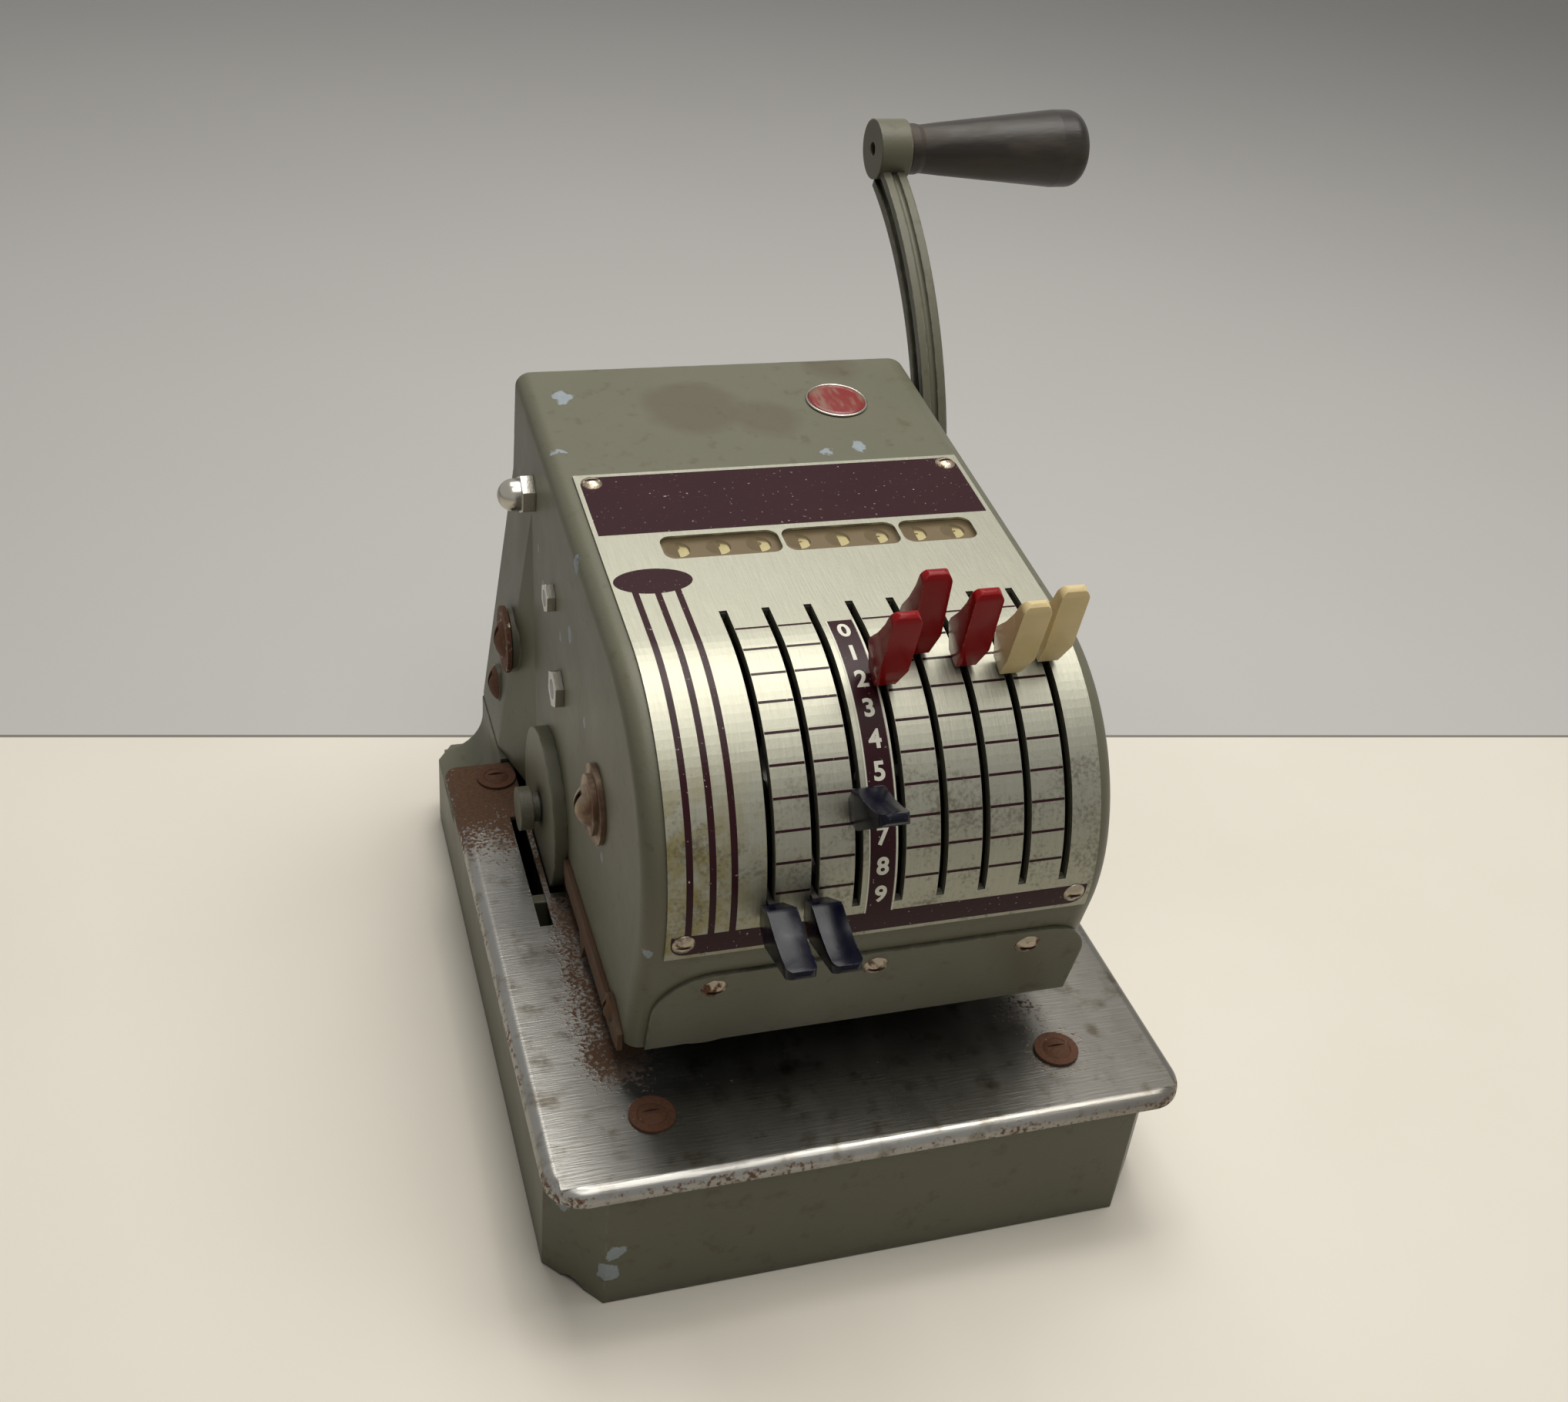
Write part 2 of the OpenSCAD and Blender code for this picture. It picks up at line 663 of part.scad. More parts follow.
module handle_arm() color(paint) {
    difference() {
        union() {
            translate([arm_x + arm_w / 2, 0, 0]) swept(arm_centre, arm_from, arm_to) arm_section();
            bar([handle_y, handle_z], 10.5, arm_x, arm_x + arm_w);
            bar(hub_at, hub_r, hub_x, hub_x + hub_len);
        }
        bar([handle_y, handle_z], handle_r + 0.02, arm_x - 1, arm_x + arm_w + 1);
        bar(hub_at, 2.6, hub_x - 1, hub_x + hub_len + 1);
    }
}

module handle_grip() color("#241d1a") {
    translate([hub_x + hub_len, hub_at[0], hub_at[1]]) rotate([0, 90, 0]) rotate_extrude() difference() {
        union() {
            polygon([[0, 0], [8.6, 0], [9.2, 1], [9.2, 4], [8.7, 6], [9.6, 14], [11.6, 34], [13.4, 52],
                [grip_r, grip_len - 12], [grip_r, grip_len - 6], [grip_r - 6, grip_len], [0, grip_len]]);
            translate([grip_r - 6, grip_len - 6]) circle(6);
        }
        translate([-50, -1]) square([50, grip_len + 10]);
        translate([0, -1]) square([2.6, grip_len - 9]);
    }
}

module grip_spindle() color(steel) {
    bar(hub_at, 2.5, hub_x + 2, hub_x + hub_len + grip_len - 12);
}

module push_rod() color(steel) {
    translate([press_x, handle_y, rod_foot]) cylinder(r = nose_r, h = rod_head - rod_foot);
    translate([press_x, handle_y, rod_head]) sphere(nose_r);
}

module press_lever() color(iron) {
    translate([0, pivot_y, pivot_z]) rotate([press_angle / 2, 0, 0])
        across(press_x - 5, press_x + 5) difference() {
            union() {
                polygon([[-pivot_y, -3], [0, -8], [rear_arm, -3], [rear_arm, 1], [0, 8], [-pivot_y, 1]]);
                circle(10);
                translate([-pivot_y, 0]) circle(nose_r);
                translate([rear_arm, 0]) circle(nose_r);
            }
            circle(pivot_r + play);
        }
}

module press_pivot() color(steel) bar([pivot_y, pivot_z], pivot_r, -neck_wall + 1, neck_wall - 1);

module platen() color(steel) {
    translate([press_x - platen_half, -platen_deep, platen_top - platen_h])
        cube([2 * platen_half, 2 * platen_deep, platen_h]);
    translate([press_x - 5, -5, stem_foot]) cube([10, 10, platen_top - platen_h - stem_foot + 1]);
}

module ink_cover() color(paint) {
    difference() {
        bar([ink_y, ink_z], ink_cover_r, -half - 4.5, -half);
        bar([ink_y, ink_z], ink_spindle_r + play, -half - 6, -half + 1);
    }
}

module ink_roll() color("#1d1b1c") {
    bar([ink_y, ink_z], ink_r, -frame_x + 6, frame_x - 6);
    bar([ink_y, ink_z], ink_spindle_r, -half - 6, half - 0.2);
    bar([ink_y, ink_z], 5, -half - 8, -half - 4.8);
    bar([ink_y, ink_z], 7.5, -half - 12, -half - 7.5);
}

// Tooth of a gear that lies along +Y, at half its thickness angle at the pitch circle.
function roll_angle(a) = tan(a) * 180 / PI - a;
function tooth_side(r, pr, thick) = thick + roll_angle(pressure)
    - roll_angle(acos(min(1, pr * cos(pressure) / max(r, pr * cos(pressure)))));

module teeth(pr, thick, angles, foot) {
    root = pr - dedendum;
    tip = pr + addendum;
    radii = [for (k = [0:4]) root + (tip - root) * k / 4];
    for (a = angles) rotate(a) polygon(concat(
        [[foot, -foot * sin(thick * 0.9)]],
        [for (r = radii) polar(r, -tooth_side(r, pr, thick))],
        [for (k = [4:-1:0]) polar(radii[k], tooth_side(radii[k], pr, thick))],
        [[foot, foot * sin(thick * 0.9)]]));
}

// Type segment: hub, toothed sector, ten type blocks and the steel finger that carries the tab.
module segment(i) color(steel) {
    thick = digit_step / 4 - backlash / 4 / sector_r * 180 / PI;
    gap_at = mesh_angle - zero_angle;
    translate([lever_x(i), 0, shaft_z]) rotate([lever_turn(i), 0, 0]) {
        across(-segment_t / 2, segment_t / 2) difference() {
            union() {
                circle(sector_r - dedendum + 0.1);
                teeth(sector_r, thick, [for (k = [-3:12]) gap_at - (k + 0.5) * digit_step],
                    sector_r - dedendum - 2);
                polygon(concat([[0, 0]], [for (k = [0:12]) polar(type_from + 1, 88 + 7.5 * k)]));
                circle(10);
            }
            circle(shaft_r + play);
            for (a = [40:90:310]) rotate(a) translate([25, 0]) circle(9);
        }
        across(-finger_t / 2, finger_t / 2) translate([sector_r - 8, -finger_w / 2])
            square([finger_end - sector_r + 8, finger_w]);
        for (k = [0:9]) rotate([172.3 + 97.7 - zero_angle - k * digit_step, 0, 0])
            across(-type_w / 2, type_w / 2) translate([type_from, -3.2]) square([type_r - type_from, 6.4]);
    }
}

module lever_1() segment(0);
module lever_2() segment(1);
module lever_3() segment(2);
module lever_4() segment(3);
module lever_5() segment(4);
module lever_6() segment(5);
module lever_7() segment(6);
module lever_8() segment(7);

// Moulded finger tab: a leaf that leans back, with a rib under it.
module tab(i) color(tab_colours[i]) {
    w = tab_w / 2;
    root = 61.4;
    translate([lever_x(i), 0, shaft_z]) rotate([lever_turn(i), 0, 0]) difference() {
        intersection() {
            across(-w, w) polygon([[root, 3.6], [70.5, 4.9], [tab_r - 2, 1.4], [tab_r - 0.4, 0.5],
                [tab_r, -0.6], [tab_r - 0.5, -1.9], [84, -2.35], [77.6, -3.9], [71.5, -6.4], [69.5, -6.6],
                [root, -2.6]]);
            translate([0, 0, -12]) linear_extrude(24) {
                polygon([[-3.2, root], [3.2, root], [w, root + 8], [w, tab_r - 3], [w - 3, tab_r],
                    [3 - w, tab_r], [-w, tab_r - 3], [-w, root + 8]]);
                for (s = [-1, 1]) translate([s * (w - 3), tab_r - 3]) circle(3);
            }
        }
        across(-finger_t / 2 - 0.05, finger_t / 2 + 0.05) translate([root - 2, -finger_w / 2 - 0.05])
            square([finger_end - root + 2.1, finger_w + 0.1]);
    }
}

module tab_1() tab(0);
module tab_2() tab(1);
module tab_3() tab(2);
module tab_4() tab(3);
module tab_5() tab(4);
module tab_6() tab(5);
module tab_7() tab(6);
module tab_8() tab(7);

// Indicator drum with its pinion and a spacing collar.
module drum(i) color("#6d675c") {
    thick = pinion_step / 4 - backlash / 4 / pinion_r * 180 / PI;
    translate([lever_x(i), drum_at[0], drum_at[1]]) rotate([drum_turn(i), 0, 0]) difference() {
        union() {
            across(-drum_side - drum_w, -drum_side) circle(drum_r);
            across(-drum_side - 1, drum_side) union() {
                teeth(pinion_r, thick, [for (k = [0:pinion_teeth - 1]) k * pinion_step], 6);
                circle(pinion_r - dedendum);
            }
            across(0, pitch - drum_side - drum_w - seat) circle(5);
        }
        across(-20, 20) circle(drum_shaft_r + play);
    }
}

module drum_1() drum(0);
module drum_2() drum(1);
module drum_3() drum(2);
module drum_4() drum(3);
module drum_5() drum(4);
module drum_6() drum(5);
module drum_7() drum(6);
module drum_8() drum(7);

// Plan of the base casting, drawn in by d.
module plan(d, rear = base_rear) {
    w = base_w / 2 - d;
    f = d - base_front;
    b = rear - d;
    c = [corner[0] - d * 0.5, corner[1] - d * 0.5];
    polygon([[-w, f + c[1]], [c[0] - w, f], [w - c[0], f], [w, f + c[1]],
        [w, b - 9], [w - 6, b], [6 - w, b], [-w, b - 9]]);
}

module base_casting() color(paint) {
    difference() {
        union() {
            // outer walls, and the rim that carries the table
            translate([0, 0, foot_z]) linear_extrude(shoulder_z - foot_z) plan(0);
            translate([0, 0, shoulder_z - 1]) linear_extrude(table_z - lip_h - 0.2 - shoulder_z + 1)
                plan(0, table_rear + 4);
            translate([0, 0, shoulder_z - 1]) linear_extrude(rim_z - shoulder_z + 1) plan(3, table_rear + 3);
            // foot of the neck behind the table
            translate([-neck_half, table_rear + seat, shoulder_z - 1])
                cube([2 * neck_half, base_rear - table_rear - seat - 3, neck_z - shoulder_z + 1]);
            for (s = [-1, 1]) mirror([s < 0 ? 1 : 0, 0, 0])
                translate([neck_half - 1, base_rear - 3, shoulder_z - 1]) rotate([90, 0, 0])
                    linear_extrude(base_rear - 6 - table_rear - seat) difference() {
                        square([16, 17]);
                        translate([17, 17]) circle(16);
                    }
        }
        // rebate for the pad and the bottom plate, then the cavity
        translate([0, 0, foot_z - 1]) linear_extrude(post_foot - foot_z + 1) plan(2);
        translate([0, 0, post_foot - 1]) linear_extrude(shoulder_z - base_wall - post_foot + 1)
            plan(base_wall);
        translate([0, 0, shoulder_z - base_wall - 1]) linear_extrude(neck_z) plan(base_wall + 3, table_rear);
        translate([base_wall - neck_half, throat_back, shoulder_z - base_wall - 1])
            cube([2 * (neck_half - base_wall), base_rear - base_wall - 3 - throat_back, neck_z]);
        // small arches under the cut corners
        for (s = [-1, 1]) {
            translate([s * (base_w / 2 - corner[0] / 2), corner[1] / 2 - base_front, foot_z - 3.4])
                rotate([90, 0, s * 51]) cylinder(r = 5.6, h = 14, center = true);
            translate([s * (base_w / 2 - 1), base_rear - 5, foot_z - 3.4])
                rotate([90, 0, s * -34]) cylinder(r = 5.6, h = 14, center = true);
        }
    }
    difference() {
        union() {
            // walls under the head
            for (s = [-1, 1])
                translate([s * (neck_wall - base_wall / 2) - base_wall / 2, throat_back, post_foot])
                    cube([base_wall, base_rear - throat_back - base_wall + 0.5, neck_z - post_foot]);
            translate([-neck_wall, throat_back, post_foot])
                cube([2 * neck_wall, base_wall, neck_z - post_foot]);
            for (s = [-1, 1]) translate([s > 0 ? neck_wall - 1 : -base_w / 2 + 1, throat_back, post_foot])
                cube([base_w / 2 - neck_wall, base_wall, post_h]);
            // lugs for the foot screws
            for (s = [-1, 1]) translate([s * (inside - seat - 3) - 3, foot_screw[0] - 9, shoulder_z])
                cube([6, 18, foot_screw[1] + 9 - shoulder_z]);
            for (s = [-1, 1]) translate([s * (inside - seat - 3) - 3, foot_screw[0] - 9, shoulder_z])
                cube([7, 18, neck_z - 0.5 - shoulder_z]);
            // guide for the push rod
            translate([press_x - 12, handle_y - 12, neck_z - 10])
                cube([24, base_rear - base_wall - handle_y + 13, 8]);
            // posts for the table screws
            for (s = [-1, 1]) {
                translate([s * table_hole[0], table_hole[1], post_foot]) cylinder(r = post_r, h = post_h);
                translate([s * table_hole[0] - 2, 2 - base_front, post_foot])
                    cube([4, table_hole[1] + base_front, post_h - 1]);
                translate([s * rear_hole[0], rear_hole[1], post_foot]) cylinder(r = post_r, h = post_h);
                translate([s > 0 ? rear_hole[0] : 1.5 - base_w / 2, rear_hole[1] - 2, post_foot])
                    cube([base_w / 2 - rear_hole[0] - 1.5, 4, post_h - 1]);
            }
        }
        translate([press_x - 8, throat_back - 1, pivot_z - 14]) cube([16, base_wall + 2, 26]);
        bar([pivot_y, pivot_z], pivot_r + loose, -neck_wall - 1, neck_wall + 1);
        bar(foot_screw, foot_screw[2] + loose, -half, half);
        translate([press_x, handle_y, neck_z - 12]) cylinder(r = nose_r + play, h = 14);
        for (s = [-1, 1]) {
            translate([s * table_hole[0], table_hole[1], rim_z - 12]) cylinder(r = 2, h = 20);
            translate([s * rear_hole[0], rear_hole[1], rim_z - 12]) cylinder(r = 2, h = 20);
        }
    }
}

module bottom_plate() color(steel) translate([0, 0, pad_t]) linear_extrude(bottom_t) plan(2 + loose);

module base_pad() color("#1b1b1b") linear_extrude(pad_t) plan(2 + loose);

// Sheet bent over along its front and sides, open behind for the neck.
module table_plate() color(bright) {
    w = table_w / 2;
    f = -base_front - 0.2 - table_t;
    r = 12;
    difference() {
        union() {
            translate([0, 0, rim_z]) linear_extrude(table_t) {
                translate([-w + bend_r, f + bend_r]) square([2 * (w - bend_r), table_rear - f - bend_r]);
            }
            for (s = [-1, 1]) mirror([s < 0 ? 1 : 0, 0, 0]) {
                translate([w, table_rear, table_z]) rotate([90, 0, 0]) linear_extrude(table_rear - f - r)
                    bend_section();
                translate([w - r, f + r, table_z]) rotate([0, 0, -90]) rotate_extrude(angle = 90)
                    translate([r, 0]) bend_section();
            }
            translate([r - w, f, table_z]) rotate([90, 0, 90]) linear_extrude(2 * (w - r))
                mirror([1, 0]) bend_section();
        }
        for (s = [-1, 1]) translate([s * w, f, rim_z - 5]) rotate(s < 0 ? 0 : 90) difference() {
            translate([-1, -1, 0]) cube([r + 1, r + 1, 10]);
            translate([r, r, -1]) cylinder(r = r, h = 12);
        }
        translate([-cut_x, throat_back, rim_z - 1]) cube([2 * cut_x, table_rear, table_t + 2]);
        translate([press_x - platen_half - seat, -platen_deep - seat, rim_z - 1])
            cube([2 * (platen_half + seat), 2 * (platen_deep + seat), table_t + 2]);
        translate([guide_slot[0] - cut_x, guide_slot[1], rim_z - 1]) cube([4.4, 59, table_t + 2]);
        for (s = [-1, 1]) {
            translate([s * table_hole[0], table_hole[1], rim_z - 1]) cylinder(r = 2.2, h = 4);
            translate([s * rear_hole[0], rear_hole[1], rim_z - 1]) cylinder(r = 2.2, h = 4);
        }
    }
}

// Rolled edge of the table in section, with its outer top corner at the origin.
module bend_section() {
    difference() {
        translate([-bend_r, -bend_r]) circle(bend_r);
        translate([-bend_r, -bend_r]) circle(bend_r - table_t);
        translate([-3 * bend_r, -2 * bend_r - 1]) square([2 * bend_r, 3 * bend_r]);
        translate([-2 * bend_r, -2 * bend_r - 1]) square([3 * bend_r, bend_r + 1]);
    }
    translate([-table_t, -lip_h]) square([table_t, lip_h - bend_r]);
    translate([-bend_r - 1, -table_t]) square([1, table_t]);
}

module table_screws() color(rusty) {
    for (s = [-1, 1], at = [table_hole, rear_hole]) translate([s * at[0], at[1], table_z]) {
        difference() {
            cylinder(r = 7, h = 1);
            translate([0, 0, 6.2]) sphere(7);
            translate([0, 0, -1]) cylinder(r = 2.2, h = 3);
        }
        translate([0, 0, 0.7]) slotted_screw(4.4, 1.4, 1.9, 8);
    }
}

base_casting();
bottom_plate();
base_pad();
table_plate();
table_screws();
head_housing();
front_lower_cover();
nameplate();
cover_screws();
window_lens();
badge();
rear_cover();
frame_left();
frame_right();
cross_rods();
acorn_nut();
side_nuts();
foot_screws();
lever_shaft();
shaft_screws();
indicator_shaft();
detent_springs();
check_guide();
handle_bushes();
return_spring();
handle_shaft();
press_cam();
handle_arm();
handle_grip();
grip_spindle();
push_rod();
press_lever();
press_pivot();
platen();
ink_cover();
ink_roll();
lever_1();
lever_2();
lever_3();
lever_4();
lever_5();
lever_6();
lever_7();
lever_8();
tab_1();
tab_2();
tab_3();
tab_4();
tab_5();
tab_6();
tab_7();
tab_8();
drum_1();
drum_2();
drum_3();
drum_4();
drum_5();
drum_6();
drum_7();
drum_8();
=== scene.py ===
"""Looks of a desk check writer: worn enamel castings, a plated table, a printed dial and moulded tabs."""

import math

import bmesh
import bpy
from mathutils import Matrix, Vector


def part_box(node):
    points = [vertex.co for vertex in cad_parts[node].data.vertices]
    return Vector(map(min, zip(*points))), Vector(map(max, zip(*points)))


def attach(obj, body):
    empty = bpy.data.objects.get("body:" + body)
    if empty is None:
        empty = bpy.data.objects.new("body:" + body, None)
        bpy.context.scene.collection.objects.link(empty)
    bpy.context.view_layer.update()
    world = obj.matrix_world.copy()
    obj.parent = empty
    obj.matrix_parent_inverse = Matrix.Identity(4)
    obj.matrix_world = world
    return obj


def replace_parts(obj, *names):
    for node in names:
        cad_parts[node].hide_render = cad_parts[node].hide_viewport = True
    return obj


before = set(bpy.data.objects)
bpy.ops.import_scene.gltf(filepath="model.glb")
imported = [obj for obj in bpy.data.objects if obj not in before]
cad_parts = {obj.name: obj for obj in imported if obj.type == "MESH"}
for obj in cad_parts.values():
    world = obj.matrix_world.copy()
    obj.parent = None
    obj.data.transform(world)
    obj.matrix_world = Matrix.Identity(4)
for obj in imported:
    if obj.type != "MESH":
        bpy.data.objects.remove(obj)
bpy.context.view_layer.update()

# ---- The desk and the lamps -------------------------------------------------------------------
# A plain pale desk top. Past a seam behind the machine its tone turns grey. Wide
# soft ceiling lamps stand behind and right of the machine: its top is bright, its front in shade.
mm = 0.001
head_turn, tip, roll = (math.radians(a) for a in (-20.22, -34.02, 6.17))
sight = Vector((-math.sin(head_turn) * math.cos(tip), math.cos(head_turn) * math.cos(tip), math.sin(tip)))
level = Vector((math.cos(head_turn), math.sin(head_turn), 0))
upward = level.cross(sight)
picture_right = math.cos(roll) * level + math.sin(roll) * upward
picture_up = math.cos(roll) * upward - math.sin(roll) * level

lens = bpy.data.cameras.new("camera")
lens.sensor_width = 36
lens.lens = 41.19
camera = bpy.data.objects.new("camera", lens)
turn = Matrix((picture_right, picture_up, -sight)).transposed()
camera.matrix_world = Matrix.Translation(Vector((-167.61, -413.12, 448.12)) * mm) @ turn.to_4x4()
bpy.context.scene.collection.objects.link(camera)
bpy.context.scene.camera = camera
bpy.context.scene.view_settings.view_transform = "Standard"


class Finish:
    """A finish made of shader nodes on Object coordinates, built up one step at a time."""

    def __init__(self, name, colour=(0.5, 0.5, 0.5), roughness=0.5, metallic=0.0, **fixed):
        self.material = bpy.data.materials.new(name)
        self.material.use_nodes = True
        self.tree = self.material.node_tree
        self.shader = self.tree.nodes["Principled BSDF"]
        self.shader.inputs["Base Color"].default_value = (*colour, 1)
        self.shader.inputs["Roughness"].default_value = roughness
        self.shader.inputs["Metallic"].default_value = metallic
        for socket, value in fixed.items():
            self.shader.inputs[socket.replace("_", " ")].default_value = value
        self.place = self.node("ShaderNodeTexCoord").outputs["Object"]

    def node(self, kind, *inputs, **settings):
        """A node whose inputs are numbers, colours or other nodes' sockets."""
        made = self.tree.nodes.new(kind)
        for key, value in settings.items():
            setattr(made, key, value)
        for slot, value in zip(made.inputs, inputs):
            self.give(slot, value)
        return made

    def give(self, slot, value):
        if isinstance(value, bpy.types.NodeSocket):
            self.tree.links.new(value, slot)
        elif value is not None:
            if slot.type == "RGBA" and len(value) == 3:
                value = (*value, 1)
            slot.default_value = value

    def set(self, socket, value):
        self.give(self.shader.inputs[socket], value)

    def maths(self, operation, a, b=0.0, c=0.0):
        return self.node("ShaderNodeMath", a, b, c, operation=operation, use_clamp=False).outputs[0]

    def times(self, a, b):
        return self.maths("MULTIPLY", a, b)

    def plus(self, a, b):
        return self.maths("ADD", a, b)

    def stretched(self, stretch):
        return self.node("ShaderNodeVectorMath", self.place, stretch, operation="MULTIPLY").outputs[0]

    def noise(self, size, detail=3.0, stretch=None, rough=0.55, shift=0.0):
        """Cloudy noise whose blotches are about size metres across."""
        at = self.stretched(stretch) if stretch else self.place
        if shift:
            moved = (shift, shift * 0.7, -shift)
            at = self.node("ShaderNodeVectorMath", at, moved, operation="ADD").outputs[0]
        return self.node("ShaderNodeTexNoise", at, None, 1 / size, detail, rough).outputs[0]

    def ramp(self, value, low, high):
        """0 below low, 1 above high, smooth between; the other way round where low is above high."""
        made = self.node("ShaderNodeMapRange", value, low, high, 0.0, 1.0, interpolation_type="SMOOTHSTEP")
        return made.outputs[0]

    def mix(self, share, a, b):
        made = self.tree.nodes.new("ShaderNodeMix")
        made.data_type = "RGBA"
        self.give(made.inputs[0], share)
        self.give(made.inputs[6], a)
        self.give(made.inputs[7], b)
        return made.outputs[2]

    def blend(self, share, a, b):
        """A number that goes from a to b as share goes from 0 to 1."""
        return self.node("ShaderNodeMapRange", share, 0.0, 1.0, a, b).outputs[0]

    def spots(self, places, uneven, soft=0.4 * mm):
        """1 inside ragged spots, each given as (x, y, z, radius) in millimetres."""
        nearest = None
        for x, y, z, r in places:
            centre = (x * mm, y * mm, z * mm)
            reach = self.node("ShaderNodeVectorMath", self.place, centre, operation="DISTANCE")
            edge = self.maths("SUBTRACT", reach.outputs["Value"], r * mm)
            nearest = edge if nearest is None else self.maths("MINIMUM", nearest, edge)
        ragged = self.maths("MULTIPLY_ADD", self.maths("SUBTRACT", uneven, 0.5), 9 * mm, nearest)
        return self.ramp(ragged, soft, -soft / 2)

    def rounding(self, radius):
        return self.node("ShaderNodeBevel", radius, samples=6).outputs[0]

    def edges(self, radius, low=0.004, high=0.12):
        """1 on edges that stand out or run in, over about the radius given."""
        flat = self.node("ShaderNodeNewGeometry").outputs["Normal"]
        away = self.node("ShaderNodeVectorMath", self.rounding(radius), flat, operation="DOT_PRODUCT")
        return self.ramp(away.outputs["Value"], 1 - low, 1 - high)

    def corners(self, reach):
        """1 deep in corners and 0 on open faces; colours darkened with it get painted shade there, together
        with dirt.
        """
        seen = self.node("ShaderNodeAmbientOcclusion", None, reach, samples=6).outputs["AO"]
        return self.ramp(seen, 0.62, 0.25)

    def bump(self, height, depth, rounding=None, strength=1.0):
        made = self.tree.nodes.new("ShaderNodeBump")
        self.give(made.inputs["Strength"], strength)
        self.give(made.inputs["Distance"], depth)
        self.give(made.inputs["Height"], height)
        if rounding:
            self.give(made.inputs["Normal"], self.rounding(rounding))
        self.set("Normal", made.outputs[0])


def sRGB(red, green, blue):
    """A colour as it is read from a screen, 0 to 255, in Blender's linear light."""
    shares = (red / 255, green / 255, blue / 255)
    return tuple(((c + 0.055) / 1.055) ** 2.4 if c > 0.04 else c / 12.92 for c in shares)


def shaded(colour, share):
    """A colour, 0 to 255, made darker or lighter by a share of its light."""
    return [c * share for c in sRGB(*colour)]


seam_at, seam_turn = Vector((53 * mm, 184 * mm, 0)), math.radians(-9.6)
across_seam = Vector((-math.sin(seam_turn), math.cos(seam_turn), 0))
desk_finish = Finish("pale_desk", roughness=0.55)
beyond = desk_finish.node("ShaderNodeVectorMath", desk_finish.place, across_seam, operation="DOT_PRODUCT")
past_seam = desk_finish.maths("SUBTRACT", beyond.outputs["Value"], seam_at.dot(across_seam))
desk_tone = desk_finish.mix(desk_finish.noise(0.11, 4), sRGB(224, 218, 205), sRGB(231, 226, 215))
grey_tone = desk_finish.mix(desk_finish.noise(0.3, 2), sRGB(184, 183, 181), sRGB(190, 189, 187))
desk_tone = desk_finish.mix(desk_finish.ramp(past_seam, 0, 0.3 * mm), desk_tone, grey_tone)
seam_line = desk_finish.ramp(desk_finish.maths("ABSOLUTE", past_seam), 1.2 * mm, 0.6 * mm)
desk_finish.set("Base Color", desk_finish.mix(seam_line, desk_tone, sRGB(120, 116, 108)))
desk_finish.bump(desk_finish.noise(0.004, 3), 0.00005)

desk_reach = 3.0
mesh = bpy.data.meshes.new("desk")
desk_corners = [(x * desk_reach, y * desk_reach, 0) for x, y in ((-1, -1), (1, -1), (1, 1), (-1, 1))]
mesh.from_pydata(desk_corners, [], [range(4)])
desk = bpy.data.objects.new("desk", mesh)
desk.data.materials.append(desk_finish.material)
bpy.context.scene.collection.objects.link(desk)

for name, place, size, power in (
    ("ceiling_rear", (0.05, 0.5, 1.3), 0.7, 9.0),
    ("ceiling_right", (0.5, 0.1, 1.4), 0.7, 8.0),
    ("ceiling_front", (0.0, -0.55, 1.6), 0.8, 7.0),
):
    lamp = bpy.data.lights.new(name, "AREA")
    lamp.size = size
    lamp.energy = power
    lamp.color = (1.0, 0.97, 0.92)
    holder = bpy.data.objects.new(name, lamp)
    holder.location = place
    holder.rotation_euler = (Vector((0, 0.02, 0.1)) - Vector(place)).to_track_quat("-Z", "Y").to_euler()
    bpy.context.scene.collection.objects.link(holder)

world = bpy.data.worlds.new("room")
bpy.context.scene.world = world
world.use_nodes = True
room = world.node_tree.nodes["Background"]
room.inputs["Color"].default_value = (*sRGB(196, 195, 192), 1)
ray = world.node_tree.nodes.new("ShaderNodeLightPath")
mirrored = world.node_tree.nodes.new("ShaderNodeMath")
mirrored.operation, mirrored.use_clamp = "ADD", True
world.node_tree.links.new(ray.outputs["Is Camera Ray"], mirrored.inputs[0])
world.node_tree.links.new(ray.outputs["Is Glossy Ray"], mirrored.inputs[1])
through = world.node_tree.nodes.new("ShaderNodeMath")
through.operation, through.use_clamp = "ADD", True
world.node_tree.links.new(mirrored.outputs[0], through.inputs[0])
world.node_tree.links.new(ray.outputs["Is Transmission Ray"], through.inputs[1])
glow = world.node_tree.nodes.new("ShaderNodeMapRange")
glow.inputs["To Min"].default_value, glow.inputs["To Max"].default_value = 0.12, 1.0
world.node_tree.links.new(through.outputs[0], glow.inputs["Value"])
world.node_tree.links.new(glow.outputs[0], room.inputs["Strength"])
